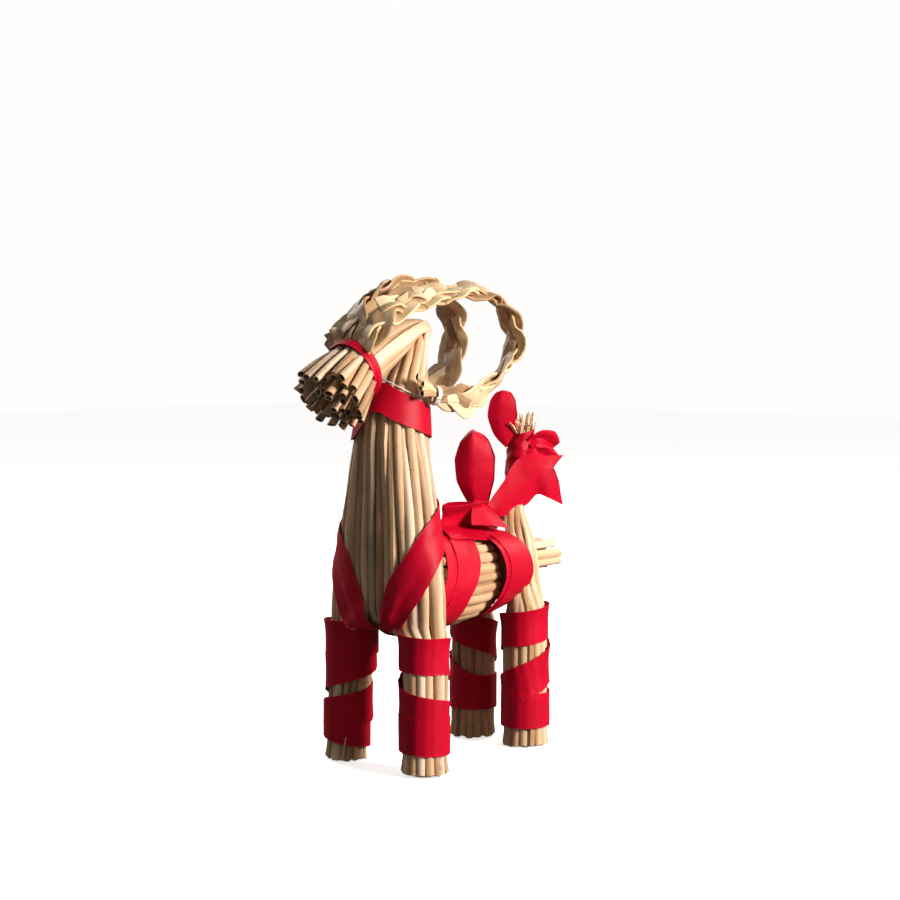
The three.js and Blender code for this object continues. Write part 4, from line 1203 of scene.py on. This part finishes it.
knotRibbon("backBowKnot", "back_bow", knot, (1, 0, 0), radius=3.4, width=10.0, seed=17)

rows = []
start, finish = np.array(backBow["backFrom"]), np.array(backBow["backTo"])
for way in np.linspace(0, 1, 31):
    lean = 0.36 + 0.08 * way
    rows.append([start + (finish - start) * way, [cos(lean), 0.12, -sin(lean)], [sin(lean), 0, cos(lean)]])
layRibbon("topRibbon", rows, "back_bow", "stretched", ["frontBodyBand", "rearBodyBand"], width=14.6,
          ripple=0.3, seed=91, cupped=lambda way, u: -1.7 * u * u)

tailBow = {
    "knot": (5.8, 51.6, 124),
    # height, width, distance off the straws, ripple, seed
    "wraps": [(114.6, 12, 0.5, 0.75, 31), (122.4, 11, 0.8, 0.9, 33), (130.4, 10.5, 1.05, 0.9, 34)],
    # x, y, z, width scale
    "leftLoop": [
        (-2, 46.6, 129, 0.4), (-3.4, 44.4, 135, 0.8), (-4, 43, 142, 1), (-4, 43.6, 148.5, 0.86),
        (-4.6, 45, 152.2, 0.4), (-6.2, 47.2, 148.5, 0.8), (-6.6, 47.6, 142, 0.96), (-5.6, 48, 135, 0.76),
        (-3, 48, 128.5, 0.4),
    ],
    "rightLoop": [
        (5.6, 50.6, 128, 0.62), (7.6, 55.6, 129.4, 0.96), (8.2, 61, 128.4, 1.04), (7.4, 66.4, 126.4, 0.84),
        (5, 67, 126, 0.8), (3.4, 61.4, 127, 0.94), (4, 54, 127, 0.6),
    ],
    "end": [(5, 55, 121, 0.4), (6.4, 60.4, 118, 0.5), (7.4, 63.4, 112, 0.5), (8, 65, 106.4, 0.42)],
}
wraps = []
for z, width, gap, ripple, seed in tailBow["wraps"]:
    a, b, y = tableAt(hindRoll["tail"], z)
    a, b = a + gap, b + gap
    rows = [[[a * cos(t), y + b * sin(t), z + 1.6 * sin(t)], [0, 0.19, 1], [cos(t), sin(t), 0]]
            for t in roundAngles(48)]
    wraps.append(dict(rows=rows, width=width, ripple=ripple, seed=seed))
layRibbon("tailWrap", node="tail_bow", held="stretched", restsOn=["hindStraws"], closed=True, **wraps[0],
          more=wraps[1:])
layRibbon("tailBowLeftLoop", stripRows(tailBow["leftLoop"], loopWide, 56), "tail_bow", "folded", ["tailWrap"],
          width=12.6, ripple=0.25, seed=41, cupped=leaf(-1.2))
layRibbon("tailBowRightLoop", stripRows(tailBow["rightLoop"], np.array([0.1, 0, 1]), 44), "tail_bow",
          "folded", ["tailWrap"], width=13, ripple=0.5, seed=43,
          cupped=lambda way, u: 1.3 * cos(u * 6 + way * 5) * (1 - 0.5 * u * u))
layRibbon("tailBowEnd", stripRows(tailBow["end"], loopWide, 30), "tail_bow", "folded", ["tailWrap"],
          width=14, ripple=0.3, seed=47)
knotRibbon("tailBowKnot", "tail_bow", tailBow["knot"], (0, 0, 1), radius=2.6, width=8.8, seed=53)

muzzleRing = {"centre": (0, -53.6, 163.4), "tilt": 24, "wide": 12.3, "deep": 12.5, "width": 4.6}
across, tilt = np.array([1.0, 0, 0]), radians(muzzleRing["tilt"])
up = np.array([0, -sin(tilt), cos(tilt)])
rows = [[muzzleRing["centre"] + across * muzzleRing["wide"] * cos(t) + up * muzzleRing["deep"] * sin(t),
         np.cross(across, up), across * cos(t) + up * sin(t)] for t in roundAngles(90)]
layRibbon("muzzleRibbon", rows, "muzzle_ribbon", "folded", ["foreStraws"], width=muzzleRing["width"],
          ripple=0.2, seed=61, closed=True, thick=0.5,
          cupped=lambda way, u: 0.5 * (1 - u * u) + 0.22 * cos(u * 7))
print("bows and muzzle ribbon tied")


def makeThread(name, points, radius, nodes):
    bm = newPiece()
    points = np.asarray(points, dtype=float)
    along = tangentsOf(points)
    side = unit(np.cross(along, [0.31, 0.17, 0.93]))
    up = np.cross(side, along)
    rings = [points[i] + radius * np.array([side[i] * cos(t) + up[i] * sin(t) for t in roundAngles(7)])
             for i in range(len(points))]
    run = runOf(points)
    rings = [np.repeat(points[:1], 7, axis=0), *rings, np.repeat(points[-1:], 7, axis=0)]
    rollGrid(bm, rings, [run[0], *run, run[-1]])
    finishPiece(bm, name, thread, nodes)


# five turns round each horn's end
for side, spec in horns.items():
    last, before = np.array(spec["rows"][-1][:3]), np.array(spec["rows"][-2][:3])
    middle = before + (last - before) * 0.8
    along = unit(last - before)
    up = unit(np.array([0, 0, 1.0]) - along * along[2])
    across = np.cross(up, along)
    points = []
    for i in range(120):
        t = i / 24 * 2 * pi
        grow = 0.25 * sin(i / 120 * pi)
        turn = across * (2.75 + grow) * cos(t) + up * (3.7 + grow) * sin(t)
        points.append(middle + along * (i / 120 - 0.5) * 2.4 + turn)
    makeThread(side + "HornThread", points, 0.3, ["horn_thread_" + side])

# a thread from one horn's tie to the other, round the neck above the collar: way round, height
tieHeights = [(-3.15, 150.5), (-1.6, 152.6), (-0.8, 156.4), (0, 159), (0.35, 158.8), (0.78, 156.4),
              (1.46, 152.6), (2.2, 151.4), (3.15, 150.5)]
points = [neckPoint(angle, tableAt(tieHeights, turned(angle))[0], 0.25)
          for angle in np.linspace(0, 2 * pi, 121)]
makeThread("neckThread", points, 0.28, [])
# a loose thread end at the front right foot
looseEnd = [(-15.2, -43.6, 11), (-14.2, -45.4, 8.4), (-14, -46.2, 5), (-15, -46.2, 2.6), (-16.4, -45.6, 1.4)]
makeThread("footThread", pathThrough(looseEnd, 24)[0], 0.16, [])
print("threads wound")

stageLook = {
    "floor": (0.95, 0.945, 0.94),
    "world": (1.0, 0.99, 0.98),
    "seen": 1.0, "above": 0.3, "below": 0.12,
}

bpy.ops.mesh.primitive_plane_add(size=6, location=(0, 0, 0))
floor = bpy.context.active_object
floor.name = "floor"
floorMaterial, floorTree, floorShader = newMaterial("paleFloor")
feed(floorTree, floorShader, {
    "Base Color": (*stageLook["floor"], 1),
    "Roughness": 0.9,
    "Emission Color": (1, 0.99, 0.98, 1),
    "Emission Strength": 0.72,
})
floor.visible_diffuse = False
floor.visible_glossy = False
floor.data.materials.append(floorMaterial)

# the camera sees a plain white surround, while the goat is lit by a soft rise from floor to ceiling
world = bpy.data.worlds.new("studio")
bpy.context.scene.world = world
world.use_nodes = True
air = world.node_tree
toward = addNode(air, "ShaderNodeTexCoord", output="Generated")
light = addNode(air, "ShaderNodeMapRange", {
    "Value": addNode(air, "ShaderNodeSeparateXYZ", {"Vector": toward}, output="Z"),
    "From Min": -0.5, "From Max": 1.0, "To Min": stageLook["below"], "To Max": stageLook["above"],
})
strength = addNode(air, "ShaderNodeMapRange", {
    "Value": addNode(air, "ShaderNodeLightPath", output="Is Camera Ray"),
    "To Min": light, "To Max": stageLook["seen"],
})
feed(air, air.nodes["Background"], {"Color": (*stageLook["world"], 1), "Strength": strength})
bpy.context.scene.view_settings.view_transform = "Standard"

view = {"target": (3.776, 0, 129.085), "azimuth": 41.543, "elevation": 3.457, "distance": 0.850, "lens": 80.9}
azimuth, elevation = radians(view["azimuth"]), radians(view["elevation"])
rightward = Vector((cos(azimuth), sin(azimuth), 0))
away = Vector((-sin(azimuth), cos(azimuth), 0))
upward = Vector((0, 0, 1))


def placeLooking(name, data, middle, way, far):
    # stands far along the way from the middle, and looks back at it
    item = bpy.data.objects.new(name, data)
    bpy.context.scene.collection.objects.link(item)
    item.location = Vector(toFrame(middle)) + way * far
    item.rotation_euler = (-way).to_track_quat("-Z", "Y").to_euler()
    return item


cameraData = bpy.data.cameras.new("camera")
cameraData.sensor_width = 36
cameraData.lens = view["lens"]
cameraData.clip_start = 0.05
toCamera = Vector((sin(azimuth) * cos(elevation), -cos(azimuth) * cos(elevation), sin(elevation)))
bpy.context.scene.camera = placeLooking("camera", cameraData, view["target"], toCamera, view["distance"])

# direction, distance, size, power, colour
lights = {
    "key": (rightward * 0.86 - away * 0.5 + upward * 0.36, 0.9, 0.28, 15, (1.0, 0.94, 0.88)),
    "rim": (rightward * 0.8 + away * 0.9 + upward * 0.7, 1.2, 0.5, 5, (1.0, 0.95, 0.9)),
    "back": (away * 0.9 - rightward * 0.7 + upward * 0.6, 1.3, 0.8, 9, (1.0, 0.96, 0.92)),
}
for name, (direction, far, size, power, colour) in lights.items():
    data = bpy.data.lights.new(name, "AREA")
    data.shape = "DISK"
    data.size = size
    data.energy = power
    data.color = colour
    placeLooking(name, data, [0, 0, 100], direction.normalized(), far)
print("stage set")

before = [list(corner) for corner in cadBox]
